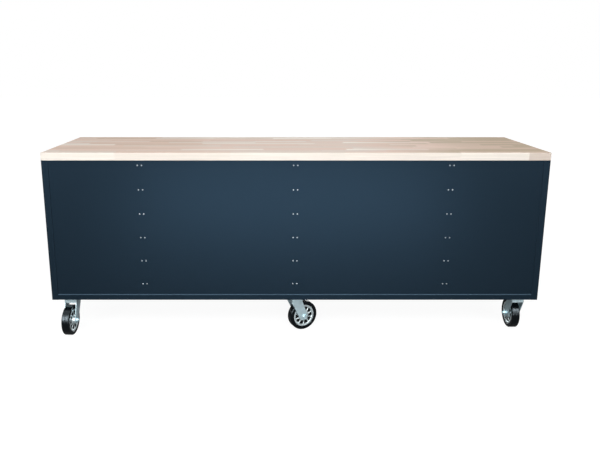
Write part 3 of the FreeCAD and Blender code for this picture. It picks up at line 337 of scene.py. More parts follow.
def make_wood(settings):
    """Oiled butcher block of finger-jointed rubberwood: pale staves, each its own tone, with long soft
    grain, short pores and a satin gloss."""
    material, tree, shader, place = new_material("oiled_butcher_block", IOR=1.47, **{
        "Specular IOR Level": 0.18})
    axes = add_node(tree, "ShaderNodeSeparateXYZ", {"Vector": place}).outputs
    # The outer rows reach a hair past the top, so that each long edge lies in one row
    past_edge = 1.0005
    width = WORKTOP_DEPTH * past_edge / settings.stave_rows

    # Which stave a point is in: its row over the depth, then its piece along the row
    depth = add_node(tree, "ShaderNodeMath", {0: axes["Y"], 1: width}, operation="DIVIDE")
    across = add_node(tree, "ShaderNodeMath", {0: depth, 1: settings.stave_rows / 2}, operation="ADD")
    row = add_node(tree, "ShaderNodeMath", {0: across}, operation="FLOOR")
    chance = add_node(tree, "ShaderNodeTexWhiteNoise", {"W": row}, noise_dimensions="1D").outputs
    length = add_node(tree, "ShaderNodeMapRange", {
        "Value": chance["Value"], "To Min": settings.stave_shortest, "To Max": settings.stave_longest})
    most_stagger = 9
    stagger = add_node(tree, "ShaderNodeMath", {0: chance["Color"], 1: most_stagger}, operation="MULTIPLY")
    half_pitch = settings.finger_pitch / 2
    slope = settings.finger_length / half_pitch
    slant = add_node(tree, "ShaderNodeMath", {0: axes["Y"], 1: axes["Z"]}, operation="ADD")
    wave = add_node(tree, "ShaderNodeMath", {0: slant, 1: half_pitch}, operation="PINGPONG")
    finger = add_node(tree, "ShaderNodeMath", {0: wave, 1: slope}, operation="MULTIPLY")
    fingered = add_node(tree, "ShaderNodeMath", {0: axes["X"], 1: finger}, operation="ADD")
    counted = add_node(tree, "ShaderNodeMath", {0: fingered, 1: length}, operation="DIVIDE")
    along = add_node(tree, "ShaderNodeMath", {0: counted, 1: stagger}, operation="ADD")
    piece = add_node(tree, "ShaderNodeMath", {0: along}, operation="FLOOR")
    stave = add_node(tree, "ShaderNodeCombineXYZ", {"X": row, "Y": piece})
    lot = add_node(tree, "ShaderNodeTexWhiteNoise", {"Vector": stave}, noise_dimensions="3D").outputs

    # Glue lines at the edges of each stave
    gaps = []
    for position, size in ((across, width), (along, length)):
        share = add_node(tree, "ShaderNodeMath", {0: position, 1: 0.5}, operation="PINGPONG")
        gaps.append(add_node(tree, "ShaderNodeMath", {0: share, 1: size}, operation="MULTIPLY"))
    gap = add_node(tree, "ShaderNodeMath", {0: gaps[0], 1: gaps[1]}, operation="MINIMUM")
    glue = add_node(tree, "ShaderNodeMath", {0: gap, 1: settings.glue_line / 2}, operation="LESS_THAN")

    # Grain: streaks about 9 mm wide and 350 mm long, and pores about 1.2 mm wide and 30 mm long
    most_shift = (31, 31, 31)
    shift = add_node(tree, "ShaderNodeVectorMath", {0: lot["Color"], 1: most_shift}, operation="MULTIPLY")
    shifted = add_node(tree, "ShaderNodeVectorMath", {0: place, 1: shift}, operation="ADD")
    grain = []
    for long_size, thin_size in ((350, 9), (30, 1.2)):
        stretch = (per_metre(long_size), per_metre(thin_size), per_metre(thin_size))
        spot = add_node(tree, "ShaderNodeVectorMath", {0: shifted, 1: stretch}, operation="MULTIPLY")
        grain.append(add_node(tree, "ShaderNodeTexNoise", {
            "Vector": spot, "Scale": 1, "Detail": 4, "Roughness": 0.6, "Distortion": 0.35}))
    streak, pore = grain

    # Staves come in lots: beige in the middle, rosy towards one end, tan towards the other. The long edges,
    # with tones of their own staves and beige at one end, are painted paler than the top as light on them.
    # Each drift has a start, an end and what it adds to the tone.
    drifts = []
    for start, end, amount in ((0.25, 0.6, 0.1), (-0.3, -0.85, 0.6), (-1.112, -1.116, 0.27)):
        drifts.append(add_node(tree, "ShaderNodeMapRange", {
            "Value": axes["X"], "From Min": start, "From Max": end, "To Max": amount}))
    rosy_end, tan_end, edge_end = drifts
    lots = add_node(tree, "ShaderNodeMath", {0: rosy_end, 1: tan_end}, operation="ADD")
    top_palest = 0.08
    top_spread = 0.62
    edge_spread = 0.18
    raised = add_node(tree, "ShaderNodeMath", {0: lots, 1: top_palest}, operation="ADD")
    top_own = add_node(tree, "ShaderNodeMath", {0: lot["Value"], 1: top_spread}, operation="MULTIPLY")
    top_tone = add_node(tree, "ShaderNodeMath", {0: raised, 1: top_own}, operation="ADD")
    edge_own = add_node(tree, "ShaderNodeMath", {0: lot["Value"], 1: edge_spread}, operation="MULTIPLY")
    edge_tone_and_light = add_node(tree, "ShaderNodeMath", {0: edge_own, 1: edge_end}, operation="ADD")

    # A long edge is a face that looks backwards or forwards. Painted light: these faces take a paler tone
    # than the top
    normal = add_node(tree, "ShaderNodeNewGeometry").outputs["True Normal"]
    facing = add_node(tree, "ShaderNodeSeparateXYZ", {"Vector": normal}).outputs["Y"]
    sideways = add_node(tree, "ShaderNodeMath", {0: facing}, operation="ABSOLUTE")
    edge = add_node(tree, "ShaderNodeMath", {0: sideways, 1: 0.5}, operation="GREATER_THAN")
    tone = add_node(tree, "ShaderNodeMix", {"Factor": edge, "A": top_tone, "B": edge_tone_and_light})
    ramp = add_node(tree, "ShaderNodeValToRGB", {"Fac": tone.outputs["Result"]})
    stops = ((0.0, settings.cream), (0.35, settings.beige), (0.62, settings.rose), (1.0, settings.tan))
    for place_on_ramp, colour in stops[1:-1]:
        ramp.color_ramp.elements.new(place_on_ramp).color = colour
    ramp.color_ramp.elements[0].color = stops[0][1]
    ramp.color_ramp.elements[-1].color = stops[-1][1]

    # Streaks, pores and glue darken wood that starts out brighter than its tone
    brightest = 1.2
    streak_depth = 0.32
    pore_depth = 0.10
    glue_depth = 0.16
    streaked = add_node(tree, "ShaderNodeMath", {0: streak, 1: streak_depth}, operation="MULTIPLY")
    pored = add_node(tree, "ShaderNodeMath", {0: pore, 1: pore_depth}, operation="MULTIPLY")
    figure = add_node(tree, "ShaderNodeMath", {0: streaked, 1: pored}, operation="ADD")
    lightness = add_node(tree, "ShaderNodeMath", {0: brightest, 1: figure}, operation="SUBTRACT")
    glued = add_node(tree, "ShaderNodeMath", {0: glue, 1: glue_depth}, operation="MULTIPLY")
    shade = add_node(tree, "ShaderNodeMath", {0: lightness, 1: glued}, operation="SUBTRACT")
    grained = add_node(tree, "ShaderNodeVectorMath", {0: ramp, "Scale": shade}, operation="SCALE")
    tree.links.new(grained.outputs["Vector"], shader.inputs["Base Color"])
    gloss = add_node(tree, "ShaderNodeMapRange", {"Value": pore, "To Min": 0.42, "To Max": 0.6})
    tree.links.new(gloss.outputs["Result"], shader.inputs["Roughness"])
    relief = add_node(tree, "ShaderNodeBump", {
        "Height": figure, "Strength": 0.25, "Distance": 0.4 * MILLIMETRE})
    tree.links.new(relief.outputs["Normal"], shader.inputs["Normal"])
    return material


def make_powder_coat(settings):
    """Baked polyester powder on steel sheet: dark slate, satin and faintly pebbled, so light spreads into
    a broad soft sheen, and the thin sheet's slow swells bend it a little. The proud fold along the top
    of the base rail is painted pale, a painted highlight in place of light on its bend."""
    material, tree, shader, place = new_material("slate_powder_coat", IOR=1.5, **{
        "Specular IOR Level": 0.3, "Specular Tint": settings.powder_gloss})
    # The real pebble is under 1 mm; 3 mm is the finest that shows from a step away
    pebble = add_node(tree, "ShaderNodeTexNoise", {"Vector": place, "Scale": per_metre(3), "Detail": 2})
    swell = add_node(tree, "ShaderNodeTexNoise", {"Vector": place, "Scale": per_metre(420), "Detail": 1})
    # Painted highlight: the fold that stands proud of the back panel, from its lower edge down,
    # between the flanges, is painted pale as light on its bend
    axes = add_node(tree, "ShaderNodeSeparateXYZ", {"Vector": place}).outputs
    proud = BACK_FACE + 0.2 * MILLIMETRE
    fold_bottom = RAIL_TOP - 4 * MILLIMETRE
    fold_top = RAIL_TOP + 0.1 * MILLIMETRE
    highlighted = add_node(tree, "ShaderNodeMath", {0: axes["Y"], 1: proud}, operation="GREATER_THAN")
    for axis, low, high in (("Z", fold_bottom, fold_top), ("X", -RAIL_REACH, RAIL_REACH)):
        middle = (low + high) / 2
        inside = add_node(tree, "ShaderNodeMath", {
            0: axes[axis], 1: middle, 2: high - middle}, operation="COMPARE")
        highlighted = add_node(tree, "ShaderNodeMath", {0: highlighted, 1: inside}, operation="MULTIPLY")
    dark, light = tones(settings.powder, 0.88, 1.12)
    paint = add_node(tree, "ShaderNodeMix", {"Factor": pebble, "A": dark, "B": light}, data_type="RGBA")
    # The fold's painted highlight: a pale colour where light would catch the bend
    paint_with_highlight = add_node(tree, "ShaderNodeMix", {
        "Factor": highlighted, "A": paint.outputs["Result"], "B": settings.highlighted}, data_type="RGBA")
    tree.links.new(paint_with_highlight.outputs["Result"], shader.inputs["Base Color"])
    gloss = add_node(tree, "ShaderNodeMapRange", {"Value": pebble, "To Min": 0.34, "To Max": 0.46})
    tree.links.new(gloss.outputs["Result"], shader.inputs["Roughness"])
    skin = add_node(tree, "ShaderNodeBump", {
        "Height": pebble, "Strength": 0.12, "Distance": 0.3 * MILLIMETRE})
    sheet = add_node(tree, "ShaderNodeBump", {
        "Height": swell, "Strength": 0.3, "Distance": 4 * MILLIMETRE, "Normal": skin})
    tree.links.new(sheet.outputs["Normal"], shader.inputs["Normal"])
    return material


def make_zinc_plate(settings):
    """Zinc plate on pressed steel: cool grey, satin and faintly cloudy, so that it mirrors only softly."""
    material, tree, shader, place = new_material("satin_zinc_plate", Metallic=1)
    cloud = add_node(tree, "ShaderNodeTexNoise", {"Vector": place, "Scale": per_metre(14), "Detail": 4})
    pattern_surface(tree, shader, cloud, tones(settings.zinc, 0.82, 1.08), (0.43, 0.57), (0.08, 0.5))
    return material


def make_cast_rim(settings):
    """Die-cast aluminium under silver lacquer: pale, fine-grained and evenly bright."""
    material, tree, shader, place = new_material("silver_lacquered_casting", Metallic=1)
    # Casting grain of about 0.5 mm, drawn 1.5 mm wide so that it shows
    grain = add_node(tree, "ShaderNodeTexNoise", {"Vector": place, "Scale": per_metre(1.5), "Detail": 2})
    pattern_surface(tree, shader, grain, tones(settings.rim, 0.9, 1.06), (0.44, 0.56), (0.15, 0.2))
    return material


def make_painted_window_shade(settings):
    """Painted shade in the rim's blind windows: black, matt and slightly uneven, so that they read as
    deep."""
    material, tree, shader, place = new_material("black_window_lacquer", **{"Specular IOR Level": 0.2})
    patchiness = add_node(tree, "ShaderNodeTexNoise", {"Vector": place, "Scale": per_metre(4), "Detail": 3})
    pattern_surface(tree, shader, patchiness, tones(settings.window, 0.8, 1.3), (0.5, 0.7))
    return material


def make_rubber(settings):
    """Moulded black rubber: a little dusty, with a cool sheen where the tread faces a lamp."""
    material, tree, shader, place = new_material("moulded_black_rubber", IOR=1.52, **{
        "Specular IOR Level": 0.5, "Specular Tint": settings.rubber_gloss})
    dust = add_node(tree, "ShaderNodeTexNoise", {"Vector": place, "Scale": per_metre(9), "Detail": 5})
    pattern_surface(tree, shader, dust, tones(settings.rubber, 0.75, 1.5), (0.15, 0.18), (0.03, 0.4))
    return material


def make_rivet_metal(settings):
    """Plain aluminium, pressed and left bare: pale with a soft gloss and light scuffs."""
    material, tree, shader, place = new_material("bare_aluminium", Metallic=1)
    scuff = add_node(tree, "ShaderNodeTexNoise", {"Vector": place, "Scale": per_metre(2), "Detail": 3})
    pattern_surface(tree, shader, scuff, tones(settings.rivet, 0.9, 1), (0.25, 0.4))
    return material


def make_anodised(settings):
    """Anodised aluminium extrusion, brushed along its length: silvery with fine lengthwise lines."""
    material, tree, shader, place = new_material("brushed_anodised_aluminium", Metallic=1)
    # Brush lines 60 mm long; real ones are under 0.2 mm wide and are drawn 0.8 mm wide so that they show
    stretch = (per_metre(60), per_metre(0.8), per_metre(0.8))
    lines = add_node(tree, "ShaderNodeVectorMath", {0: place, 1: stretch}, operation="MULTIPLY")
    brush = add_node(tree, "ShaderNodeTexNoise", {"Vector": lines, "Scale": 1, "Detail": 3})
    pattern_surface(tree, shader, brush, tones(settings.pull, 0.86, 1.06), (0.4, 0.54), (0.1, 0.1))
    return material


def make_nickel(settings):
    """Satin nickel plate on a turned lock: warm grey, brushed dull so that it only glows under a lamp."""
    material, tree, shader, place = new_material("satin_nickel_plate", Metallic=1)
    haze = add_node(tree, "ShaderNodeTexNoise", {"Vector": place, "Scale": per_metre(3), "Detail": 3})
    pattern_surface(tree, shader, haze, tones(settings.lock, 0.92, 1), (0.54, 0.64))
    return material


FINISH_MAKERS = {
    "oiled_butcher_block": make_wood,
    "slate_powder_coat": make_powder_coat,
    "satin_zinc_plate": make_zinc_plate,
    "silver_lacquered_casting": make_cast_rim,
    "black_window_lacquer": make_painted_window_shade,
    "moulded_black_rubber": make_rubber,
    "bare_aluminium": make_rivet_metal,
    "brushed_anodised_aluminium": make_anodised,
    "satin_nickel_plate": make_nickel,
}


def finish_of(name):
    """A finish by its name, made when it is first asked for."""
    if name in bpy.data.materials:
        return bpy.data.materials[name]
    scene = bpy.context.scene
    settings = scene.cabinet_worktop if name == "oiled_butcher_block" else scene.cabinet_finish
    return FINISH_MAKERS[name](settings)


def dress(node_name, finish):
    """Give a CAD node a finish in place of its plain colour."""
    slots = frame["nodes"][node_name].data.materials
    slots.clear()
    slots.append(finish_of(finish))


def add_piece(name, mesh, body):
    """Put a finished mesh into the scene, riding on its body."""
    piece = bpy.data.objects.new(name, mesh)
    bpy.context.scene.collection.objects.link(piece)
    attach(piece, body)
    return piece


def baked(piece):
    """The mesh of an object with its modifiers applied; the object itself goes."""
    bpy.context.view_layer.update()
    graph = bpy.context.evaluated_depsgraph_get()
    mesh = bpy.data.meshes.new_from_object(piece.evaluated_get(graph))
    bpy.data.objects.remove(piece)
    return mesh


def smooth_by_angle(mesh, degrees):
    """Shade a mesh smooth, apart from edges sharper than an angle, and keep its flat faces flat."""
    mesh.shade_smooth()
    mesh.set_sharp_from_angle(angle=math.radians(degrees))
    holder = bpy.data.objects.new("smoothing", mesh)
    bpy.context.scene.collection.objects.link(holder)
    weighting = holder.modifiers.new("weighting", "WEIGHTED_NORMAL")
    weighting.keep_sharp = True
    return baked(holder)


def islands(mesh):
    """Groups of joined vertices of a bmesh."""
    waiting = set(mesh.verts)
    groups = []
    while waiting:
        open_ends = [waiting.pop()]
        found = list(open_ends)
        while open_ends:
            vertex = open_ends.pop()
            for edge in vertex.link_edges:
                other = edge.other_vert(vertex)
                if other in waiting:
                    waiting.remove(other)
                    open_ends.append(other)
                    found.append(other)
        groups.append(found)
    return groups


def merged_mesh(node_name):
    """A CAD node's mesh as a bmesh whose loose triangles are joined."""
    mesh = bmesh.new()
    mesh.from_mesh(frame["nodes"][node_name].data)
    bmesh.ops.remove_doubles(mesh, verts=mesh.verts, dist=WELD_DISTANCE)
    return mesh


class CABINET_OT_worktop(bpy.types.Operator):
    """Finish the worktop as glued staves"""

    bl_idname = "cabinet.worktop"
    bl_label = "Worktop"

    def execute(self, context):
        dress("worktop", "oiled_butcher_block")
        return {"FINISHED"}


class CABINET_OT_carcass(bpy.types.Operator):
    """Finish the painted carcass, the plated running gear and the lock"""

    bl_idname = "cabinet.carcass"
    bl_label = "Carcass, Casters and Lock"

    def execute(self, context):
        for finish, names in FINISHES.items():
            for name in names:
                dress(name, finish)
        return {"FINISHED"}


class CABINET_OT_drawers(bpy.types.Operator):
    """Build the drawers with painted trays, brushed pulls and plated runners"""

    bl_idname = "cabinet.drawers"
    bl_label = "Drawers"

    # A runner is narrower than this, in metres
    runner_width = 0.02
    # Finishes in the order of a drawer's material slots
    finishes = ("slate_powder_coat", "brushed_anodised_aluminium", "satin_zinc_plate")
    paint, pull, runner = range(3)

    def finish_index(self, group):
        """Slot of the finish that a joined group of a drawer's vertices takes."""
        if min(vertex.co.y for vertex in group) < FRONT_FACE - MILLIMETRE:
            return self.pull
        across = [vertex.co.x for vertex in group]
        return self.runner if max(across) - min(across) < self.runner_width else self.paint

    def execute(self, context):
        for name in DRAWERS:
            shape = merged_mesh(name)
            for group in islands(shape):
                index = self.finish_index(group)
                for face in {face for vertex in group for face in vertex.link_faces}:
                    face.material_index = index
            mesh = bpy.data.meshes.new(name + "_assembled")
            shape.to_mesh(mesh)
            shape.free()
            for finish in self.finishes:
                mesh.materials.append(finish_of(finish))
            mesh = smooth_by_angle(mesh, SHARP_DEGREES)
            piece = add_piece(name + "_assembled", mesh, name)
            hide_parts(name)
        return {"FINISHED"}


def make_rivet_tree():
    """Node tree that sets a blind rivet, built up from its tail to the hole in its head, at each point."""
    tree = bpy.data.node_groups.new("blind_rivets", "GeometryNodeTree")
    face = tree.interface
    face.new_socket("Places", in_out="INPUT", socket_type="NodeSocketGeometry")
    face.new_socket("Sides", in_out="INPUT", socket_type="NodeSocketInt")
    sizes = ("Head", "Rim Height", "Crown Height", "Crown", "Hole", "Hole Depth", "Shank", "Grip", "Tail",
             "Tail Length")
    for size in sizes:
        face.new_socket(size, in_out="INPUT", socket_type="NodeSocketFloat")
    face.new_socket("Finish", in_out="INPUT", socket_type="NodeSocketMaterial")
    face.new_socket("Rivets", in_out="OUTPUT", socket_type="NodeSocketGeometry")
    given = add_node(tree, "NodeGroupInput").outputs

    radius = add_node(tree, "ShaderNodeMath", {0: given["Tail"], 1: 0.5}, operation="MULTIPLY")
    end = add_node(tree, "GeometryNodeMeshCircle", {
        "Vertices": given["Sides"], "Radius": radius}, fill_type="NGON")
    cap = add_node(tree, "GeometryNodeFlipFaces", {"Mesh": end})
    # Each step pushes the top face out by a rise, then brings it from one diameter to the next
    inwards = add_node(tree, "ShaderNodeMath", {0: given["Hole Depth"], 1: -1}, operation="MULTIPLY")
    steps = (
        (given["Tail Length"], given["Tail"], given["Tail"]),
        (0.0, given["Tail"], given["Shank"]),
        (given["Grip"], given["Shank"], given["Shank"]),
        (0.0, given["Shank"], given["Head"]),
        (given["Rim Height"], given["Head"], given["Head"]),
        (given["Crown Height"], given["Head"], given["Crown"]),
        (0.0, given["Crown"], given["Hole"]),
        (inwards, given["Hole"], given["Hole"]),
    )
    shape = end
    top = None
    for rise, before, after in steps:
        inputs = {"Mesh": shape, "Offset Scale": rise, "Individual": False}
        if top:
            inputs["Selection"] = top
        pushed = add_node(tree, "GeometryNodeExtrudeMesh", inputs, mode="FACES")
        top = pushed.outputs["Top"]
        ratio = add_node(tree, "ShaderNodeMath", {0: after, 1: before}, operation="DIVIDE")
        shape = add_node(tree, "GeometryNodeScaleElements", {
            "Geometry": pushed, "Selection": top, "Scale": ratio})
    joined = add_node(tree, "GeometryNodeJoinGeometry")
    for part in (shape, cap):
        tree.links.new(part.outputs[0], joined.inputs["Geometry"])
    closed = add_node(tree, "GeometryNodeMergeByDistance", {"Geometry": joined, "Distance": WELD_DISTANCE})
    # The sheets start where the tail ends, so the head's underside lies on the point itself
    below = add_node(tree, "ShaderNodeMath", {0: given["Tail Length"], 1: given["Grip"]}, operation="ADD")
    sunk = add_node(tree, "ShaderNodeMath", {0: below, 1: -1}, operation="MULTIPLY")
    offset = add_node(tree, "ShaderNodeCombineXYZ", {"Z": sunk})
    seated = add_node(tree, "GeometryNodeTransform", {"Geometry": closed, "Translation": offset})
    placed = add_node(tree, "GeometryNodeInstanceOnPoints", {
        "Points": given["Places"], "Instance": seated, "Rotation": (-math.pi / 2, 0, 0)})
    real = add_node(tree, "GeometryNodeRealizeInstances", {"Geometry": placed})
    finished = add_node(tree, "GeometryNodeSetMaterial", {"Geometry": real, "Material": given["Finish"]})
    add_node(tree, "NodeGroupOutput", {"Rivets": finished})
    return tree


class CABINET_OT_rivets(bpy.types.Operator):
    """Set a blind rivet wherever the frame has one"""

    bl_idname = "cabinet.rivets"
    bl_label = "Back Rivets"

    def execute(self, context):
        settings = context.scene.cabinet_rivets
        shape = merged_mesh("back_rivets")
        places = []
        for group in islands(shape):
            across = [vertex.co.x for vertex in group]
            height = [vertex.co.z for vertex in group]
            places.append(((min(across) + max(across)) / 2, BACK_FACE, (min(height) + max(height)) / 2))
        shape.free()
        points = bpy.data.meshes.new("rivet_places")
        points.from_pydata(sorted(places), [], [])
        holder = bpy.data.objects.new("rivet_places", points)
        context.scene.collection.objects.link(holder)
        tree = make_rivet_tree()
        modifier = holder.modifiers.new("rivets", "NODES")
        modifier.node_group = tree
        values = {
            "Sides": settings.sides,
            "Head": settings.head,
            "Rim Height": settings.rim_height,
            "Crown Height": settings.crown_height,
            "Crown": settings.crown,
            "Hole": settings.hole,
            "Hole Depth": settings.hole_depth,
            "Shank": settings.shank,
            "Grip": settings.grip,
            "Tail": settings.tail,
            "Tail Length": settings.tail_length,
            "Finish": finish_of("bare_aluminium"),
        }
        for item in tree.interface.items_tree:
            if item.in_out == "INPUT" and item.name in values:
                modifier[item.identifier] = values[item.name]
        mesh = smooth_by_angle(baked(holder), SHARP_DEGREES)
        if not mesh.polygons:
            raise RuntimeError("the rivet tree made nothing")
        piece = add_piece("back_rivet_rows", mesh, "cabinet")
        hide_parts("back_rivets")
        return {"FINISHED"}


def wheel_frame(wheel):
    """Axle direction and middle of a wheel."""
    joint = {joint["name"]: joint for joint in frame["joints"]}[wheel + "_roll"]
    return Vector(joint["axis"]), Vector(joint["pos_m"])


class CABINET_OT_rims(bpy.types.Operator):
    """Lacquer the rims silver, and paint the blind windows between their spokes black as shade"""

    bl_idname = "cabinet.rims"
    bl_label = "Rims"

    def execute(self, context):
        settings = context.scene.cabinet_rims
        for wheel in WHEELS:
            axle, middle = wheel_frame(wheel)
            shape = merged_mesh(wheel + "_rim")
            # Faces that are sunk below the web's surface belong to the windows, which take the painted shade
            for face in shape.faces:
                spot = face.calc_center_median() - middle
                deep = abs(spot.dot(axle)) < settings.web / 2 - MILLIMETRE / 2
                reach = 2 * spot.cross(axle).length
                face.material_index = int(deep and settings.window_inner < reach < settings.window_outer)
            mesh = bpy.data.meshes.new(wheel + "_rim_lacquered")
            shape.to_mesh(mesh)
            shape.free()
            for finish in ("silver_lacquered_casting", "black_window_lacquer"):
                mesh.materials.append(finish_of(finish))
            mesh = smooth_by_angle(mesh, SHARP_DEGREES)
            piece = add_piece(wheel + "_rim_lacquered", mesh, wheel + "_wheel")
            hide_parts(wheel + "_rim")
        return {"FINISHED"}


class CABINET_OT_tyres(bpy.types.Operator):
    """Turn the tyres, with their bead grooves, rounded shoulders and mould line"""

    bl_idname = "cabinet.tyres"
    bl_label = "Tyres"

    shoulder_steps = 8
    # Edges that turn by more than this, in degrees, are sharp; shoulder and mould line turn by less
    sharp_degrees = 40

    def section(self, inner, outer, half_width, settings):
        """Half section of a tyre from the rim to the middle of the tread, as (radius, offset) points."""
        groove = settings.bead_groove
        points = [
            (inner, half_width - groove),
            (inner + groove, half_width - groove),
            (inner + 2 * groove, half_width),
        ]
        centre = (outer - settings.shoulder, half_width - settings.shoulder)
        for step in range(self.shoulder_steps + 1):
            angle = math.pi / 2 * (1 - step / self.shoulder_steps)
            points.append((centre[0] + settings.shoulder * math.cos(angle),
                           centre[1] + settings.shoulder * math.sin(angle)))
        # Rings near both ends of the flat tread keep its shading flat
        line = settings.mould_line
        tread = outer - line
        edge = points.pop()[1]
        foot = 3 * line
        points += [(tread, offset) for offset in (edge, edge - MILLIMETRE, foot + MILLIMETRE, foot)]
        points.append((outer, line))
        return points

    def execute(self, context):
        settings = context.scene.cabinet_tyres
        for wheel in WHEELS:
            axle, middle = wheel_frame(wheel)
            forward = axle.cross(Vector((0, 0, 1)))
            reach = [((vertex.co - middle).dot(axle), (vertex.co - middle).cross(axle).length)
                     for vertex in frame["nodes"][wheel + "_tyre"].data.vertices]
            half_width = max(offset for offset, radius in reach)
            radii = [radius for offset, radius in reach]
            half = self.section(min(radii), max(radii), half_width, settings)
            outline = half + [(radius, -offset) for radius, offset in reversed(half)]
            # Rings laid one by one, because the spin operator orders its faces anew in each run
            shape = bmesh.new()
            rings = []
            for step in range(settings.steps):
                outwards = Matrix.Rotation(2 * math.pi * step / settings.steps, 3, axle) @ forward
                rings.append([shape.verts.new(middle + outwards * radius + axle * offset)
                              for radius, offset in outline])
            for ring, following in zip(rings, rings[1:] + rings[:1]):
                for k in range(len(ring)):
                    shape.faces.new((ring[k - 1], ring[k], following[k], following[k - 1]))
            bmesh.ops.recalc_face_normals(shape, faces=shape.faces)
            mesh = bpy.data.meshes.new(wheel + "_tyre_moulded")
            shape.to_mesh(mesh)
            shape.free()
            mesh.materials.append(finish_of("moulded_black_rubber"))
            mesh = smooth_by_angle(mesh, self.sharp_degrees)
            piece = add_piece(wheel + "_tyre_moulded", mesh, wheel + "_wheel")
            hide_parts(wheel + "_tyre")
        return {"FINISHED"}


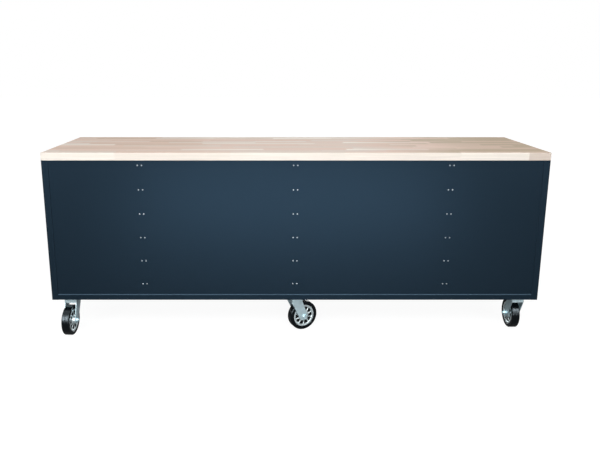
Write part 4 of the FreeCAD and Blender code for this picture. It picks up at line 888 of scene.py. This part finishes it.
class CABINET_OT_studio(bpy.types.Operator):
    """Set up the floor, the sky, the soft boxes and the camera"""

    bl_idname = "cabinet.studio"
    bl_label = "Studio"

    # Side of the floor, and how far from the middle its glow starts and ends to grow, in metres
    floor_size = 40.0
    glow_start = 1.6
    glow_end = 5.0
    # The camera's sensor in millimetres, and how far it sees in metres
    sensor_width = 36
    sight = 200
    # Each soft box with its place, the point it faces, its width and height, and the setting of its power
    soft_boxes = (
        ("key_soft_box", (-0.03, 2.3, 0.29), (-0.03, 0.3, 0.62), 2.5, 0.5, "key_power"),
        ("fill_soft_box", (0.25, 4.2, 3.4), (0.1, 0.3, 0.6), 3.0, 1.2, "fill_power"),
        ("left_strip_box", (2.3, 2.45, 1.7), (1.14, 0.3, 0.1), 0.2, 2.4, "left_strip_power"),
        ("right_strip_box", (-2.3, 2.45, 1.7), (-1.14, 0.3, 0.1), 0.2, 2.4, "right_strip_power"),
        ("top_soft_box", (0, 0.2, 4.4), (0, 0, 0.9), 4.0, 2.0, "top_power"),
        ("front_soft_box", (-0.5, -3.6, 0.75), (0, -0.3, 0.5), 3.0, 0.9, "front_power"),
    )

    def seen_directly(self, tree, mirrored):
        """1 for rays that show the backdrop straight to the camera or through glass, and a share of that
        where it is mirrored."""
        ray = add_node(tree, "ShaderNodeLightPath").outputs
        gloss = add_node(tree, "ShaderNodeMath", {
            0: ray["Is Glossy Ray"], 1: mirrored}, operation="MULTIPLY")
        first = add_node(tree, "ShaderNodeMath", {
            0: ray["Is Camera Ray"], 1: gloss}, operation="MAXIMUM")
        return add_node(tree, "ShaderNodeMath", {
            0: first, 1: ray["Is Transmission Ray"]}, operation="MAXIMUM")

    def make_sky(self, settings):
        """White sky to the eye and in mirrors, and a soft ambient light on the object."""
        world = bpy.data.worlds.new("studio_sky")
        world.use_nodes = True
        tree = world.node_tree
        tree.nodes.clear()
        strength = add_node(tree, "ShaderNodeMapRange", {
            "Value": self.seen_directly(tree, 1), "To Min": settings.ambient, "To Max": 1.0})
        sky = add_node(tree, "ShaderNodeBackground", {
            "Color": settings.backdrop, "Strength": strength})
        add_node(tree, "ShaderNodeOutputWorld", {"Surface": sky.outputs["Background"]})
        bpy.context.scene.world = world

    def make_floor(self, settings):
        """Matt painted floor that takes the cabinet's shadow and shows white to the camera."""
        material, tree, shader, place = new_material("white_studio_floor", Roughness=1, **{
            "Base Color": settings.floor_paint, "Specular IOR Level": 0,
            "Emission Color": settings.backdrop})
        # The glow grows to full white away from the object, so that floor and sky meet without a line
        reach = add_node(tree, "ShaderNodeVectorMath", {0: place}, operation="LENGTH").outputs["Value"]
        white = add_node(tree, "ShaderNodeMapRange", {
            "Value": reach, "From Min": self.glow_start, "From Max": self.glow_end,
            "To Min": settings.floor_glow})
        seen = self.seen_directly(tree, settings.floor_mirrored)
        glow = add_node(tree, "ShaderNodeMath", {0: seen, 1: white}, operation="MULTIPLY")
        tree.links.new(glow.outputs[0], shader.inputs["Emission Strength"])
        shape = bmesh.new()
        bmesh.ops.create_grid(shape, x_segments=1, y_segments=1, size=self.floor_size / 2)
        mesh = bpy.data.meshes.new("studio_floor")
        shape.to_mesh(mesh)
        shape.free()
        mesh.materials.append(material)
        floor = bpy.data.objects.new("studio_floor", mesh)
        bpy.context.scene.collection.objects.link(floor)

    def make_soft_box(self, name, place, target, width, height, power):
        """Rectangular lamp that faces a point."""
        lamp = bpy.data.lights.new(name, "AREA")
        lamp.shape = "RECTANGLE"
        lamp.size = width
        lamp.size_y = height
        lamp.energy = power
        holder = bpy.data.objects.new(name, lamp)
        holder.location = place
        aim = Vector(target) - Vector(place)
        holder.rotation_euler = aim.to_track_quat("-Z", "Y").to_euler()
        bpy.context.scene.collection.objects.link(holder)

    def make_camera(self, settings):
        """Camera that faces the back panel squarely, level and tilted down."""
        data = bpy.data.cameras.new("studio_camera")
        data.sensor_width = self.sensor_width
        data.lens = settings.lens
        data.shift_x, data.shift_y = settings.shift
        data.clip_end = self.sight
        camera = bpy.data.objects.new("studio_camera", data)
        camera.location = settings.camera_place
        camera.rotation_euler = (math.pi / 2 - settings.camera_pitch, 0, math.pi)
        bpy.context.scene.collection.objects.link(camera)
        bpy.context.scene.camera = camera

    def execute(self, context):
        settings = context.scene.cabinet_studio
        self.make_sky(settings)
        self.make_floor(settings)
        for name, place, target, width, height, power in self.soft_boxes:
            self.make_soft_box(name, place, target, width, height, getattr(settings, power))
        self.make_camera(settings)
        context.scene.view_settings.view_transform = "Standard"
        return {"FINISHED"}


class CABINET_PT_sidebar(bpy.types.Panel):
    """Steps and sizes of the tool cabinet"""

    bl_idname = "CABINET_PT_sidebar"
    bl_label = "Tool Cabinet"
    bl_space_type = "VIEW_3D"
    bl_region_type = "UI"
    bl_category = "Tool Cabinet"

    def draw(self, context):
        for operator in OPERATORS:
            self.layout.operator(operator.bl_idname)
        for group in SETTINGS:
            values = getattr(context.scene, group)
            for name in values.__annotations__:
                self.layout.prop(values, name)


SETTINGS = {
    "cabinet_worktop": WorktopSettings,
    "cabinet_finish": FinishSettings,
    "cabinet_rivets": RivetSettings,
    "cabinet_rims": RimSettings,
    "cabinet_tyres": TyreSettings,
    "cabinet_studio": StudioSettings,
}
OPERATORS = (CABINET_OT_worktop, CABINET_OT_carcass, CABINET_OT_drawers, CABINET_OT_rivets,
             CABINET_OT_rims, CABINET_OT_tyres, CABINET_OT_studio)


def register():
    for group, kind in SETTINGS.items():
        bpy.utils.register_class(kind)
        setattr(bpy.types.Scene, group, PointerProperty(type=kind))
    for kind in (*OPERATORS, CABINET_PT_sidebar):
        bpy.utils.register_class(kind)


def unregister():
    for kind in (CABINET_PT_sidebar, *reversed(OPERATORS)):
        bpy.utils.unregister_class(kind)
    for group, kind in SETTINGS.items():
        delattr(bpy.types.Scene, group)
        bpy.utils.unregister_class(kind)


def main():
    """Dress the frame piece by piece."""
    register()
    bpy.ops.cabinet.worktop()
    bpy.ops.cabinet.carcass()
    bpy.ops.cabinet.drawers()
    bpy.ops.cabinet.rivets()
    bpy.ops.cabinet.rims()
    bpy.ops.cabinet.tyres()
    bpy.ops.cabinet.studio()


if __name__ == "__main__":
    main()
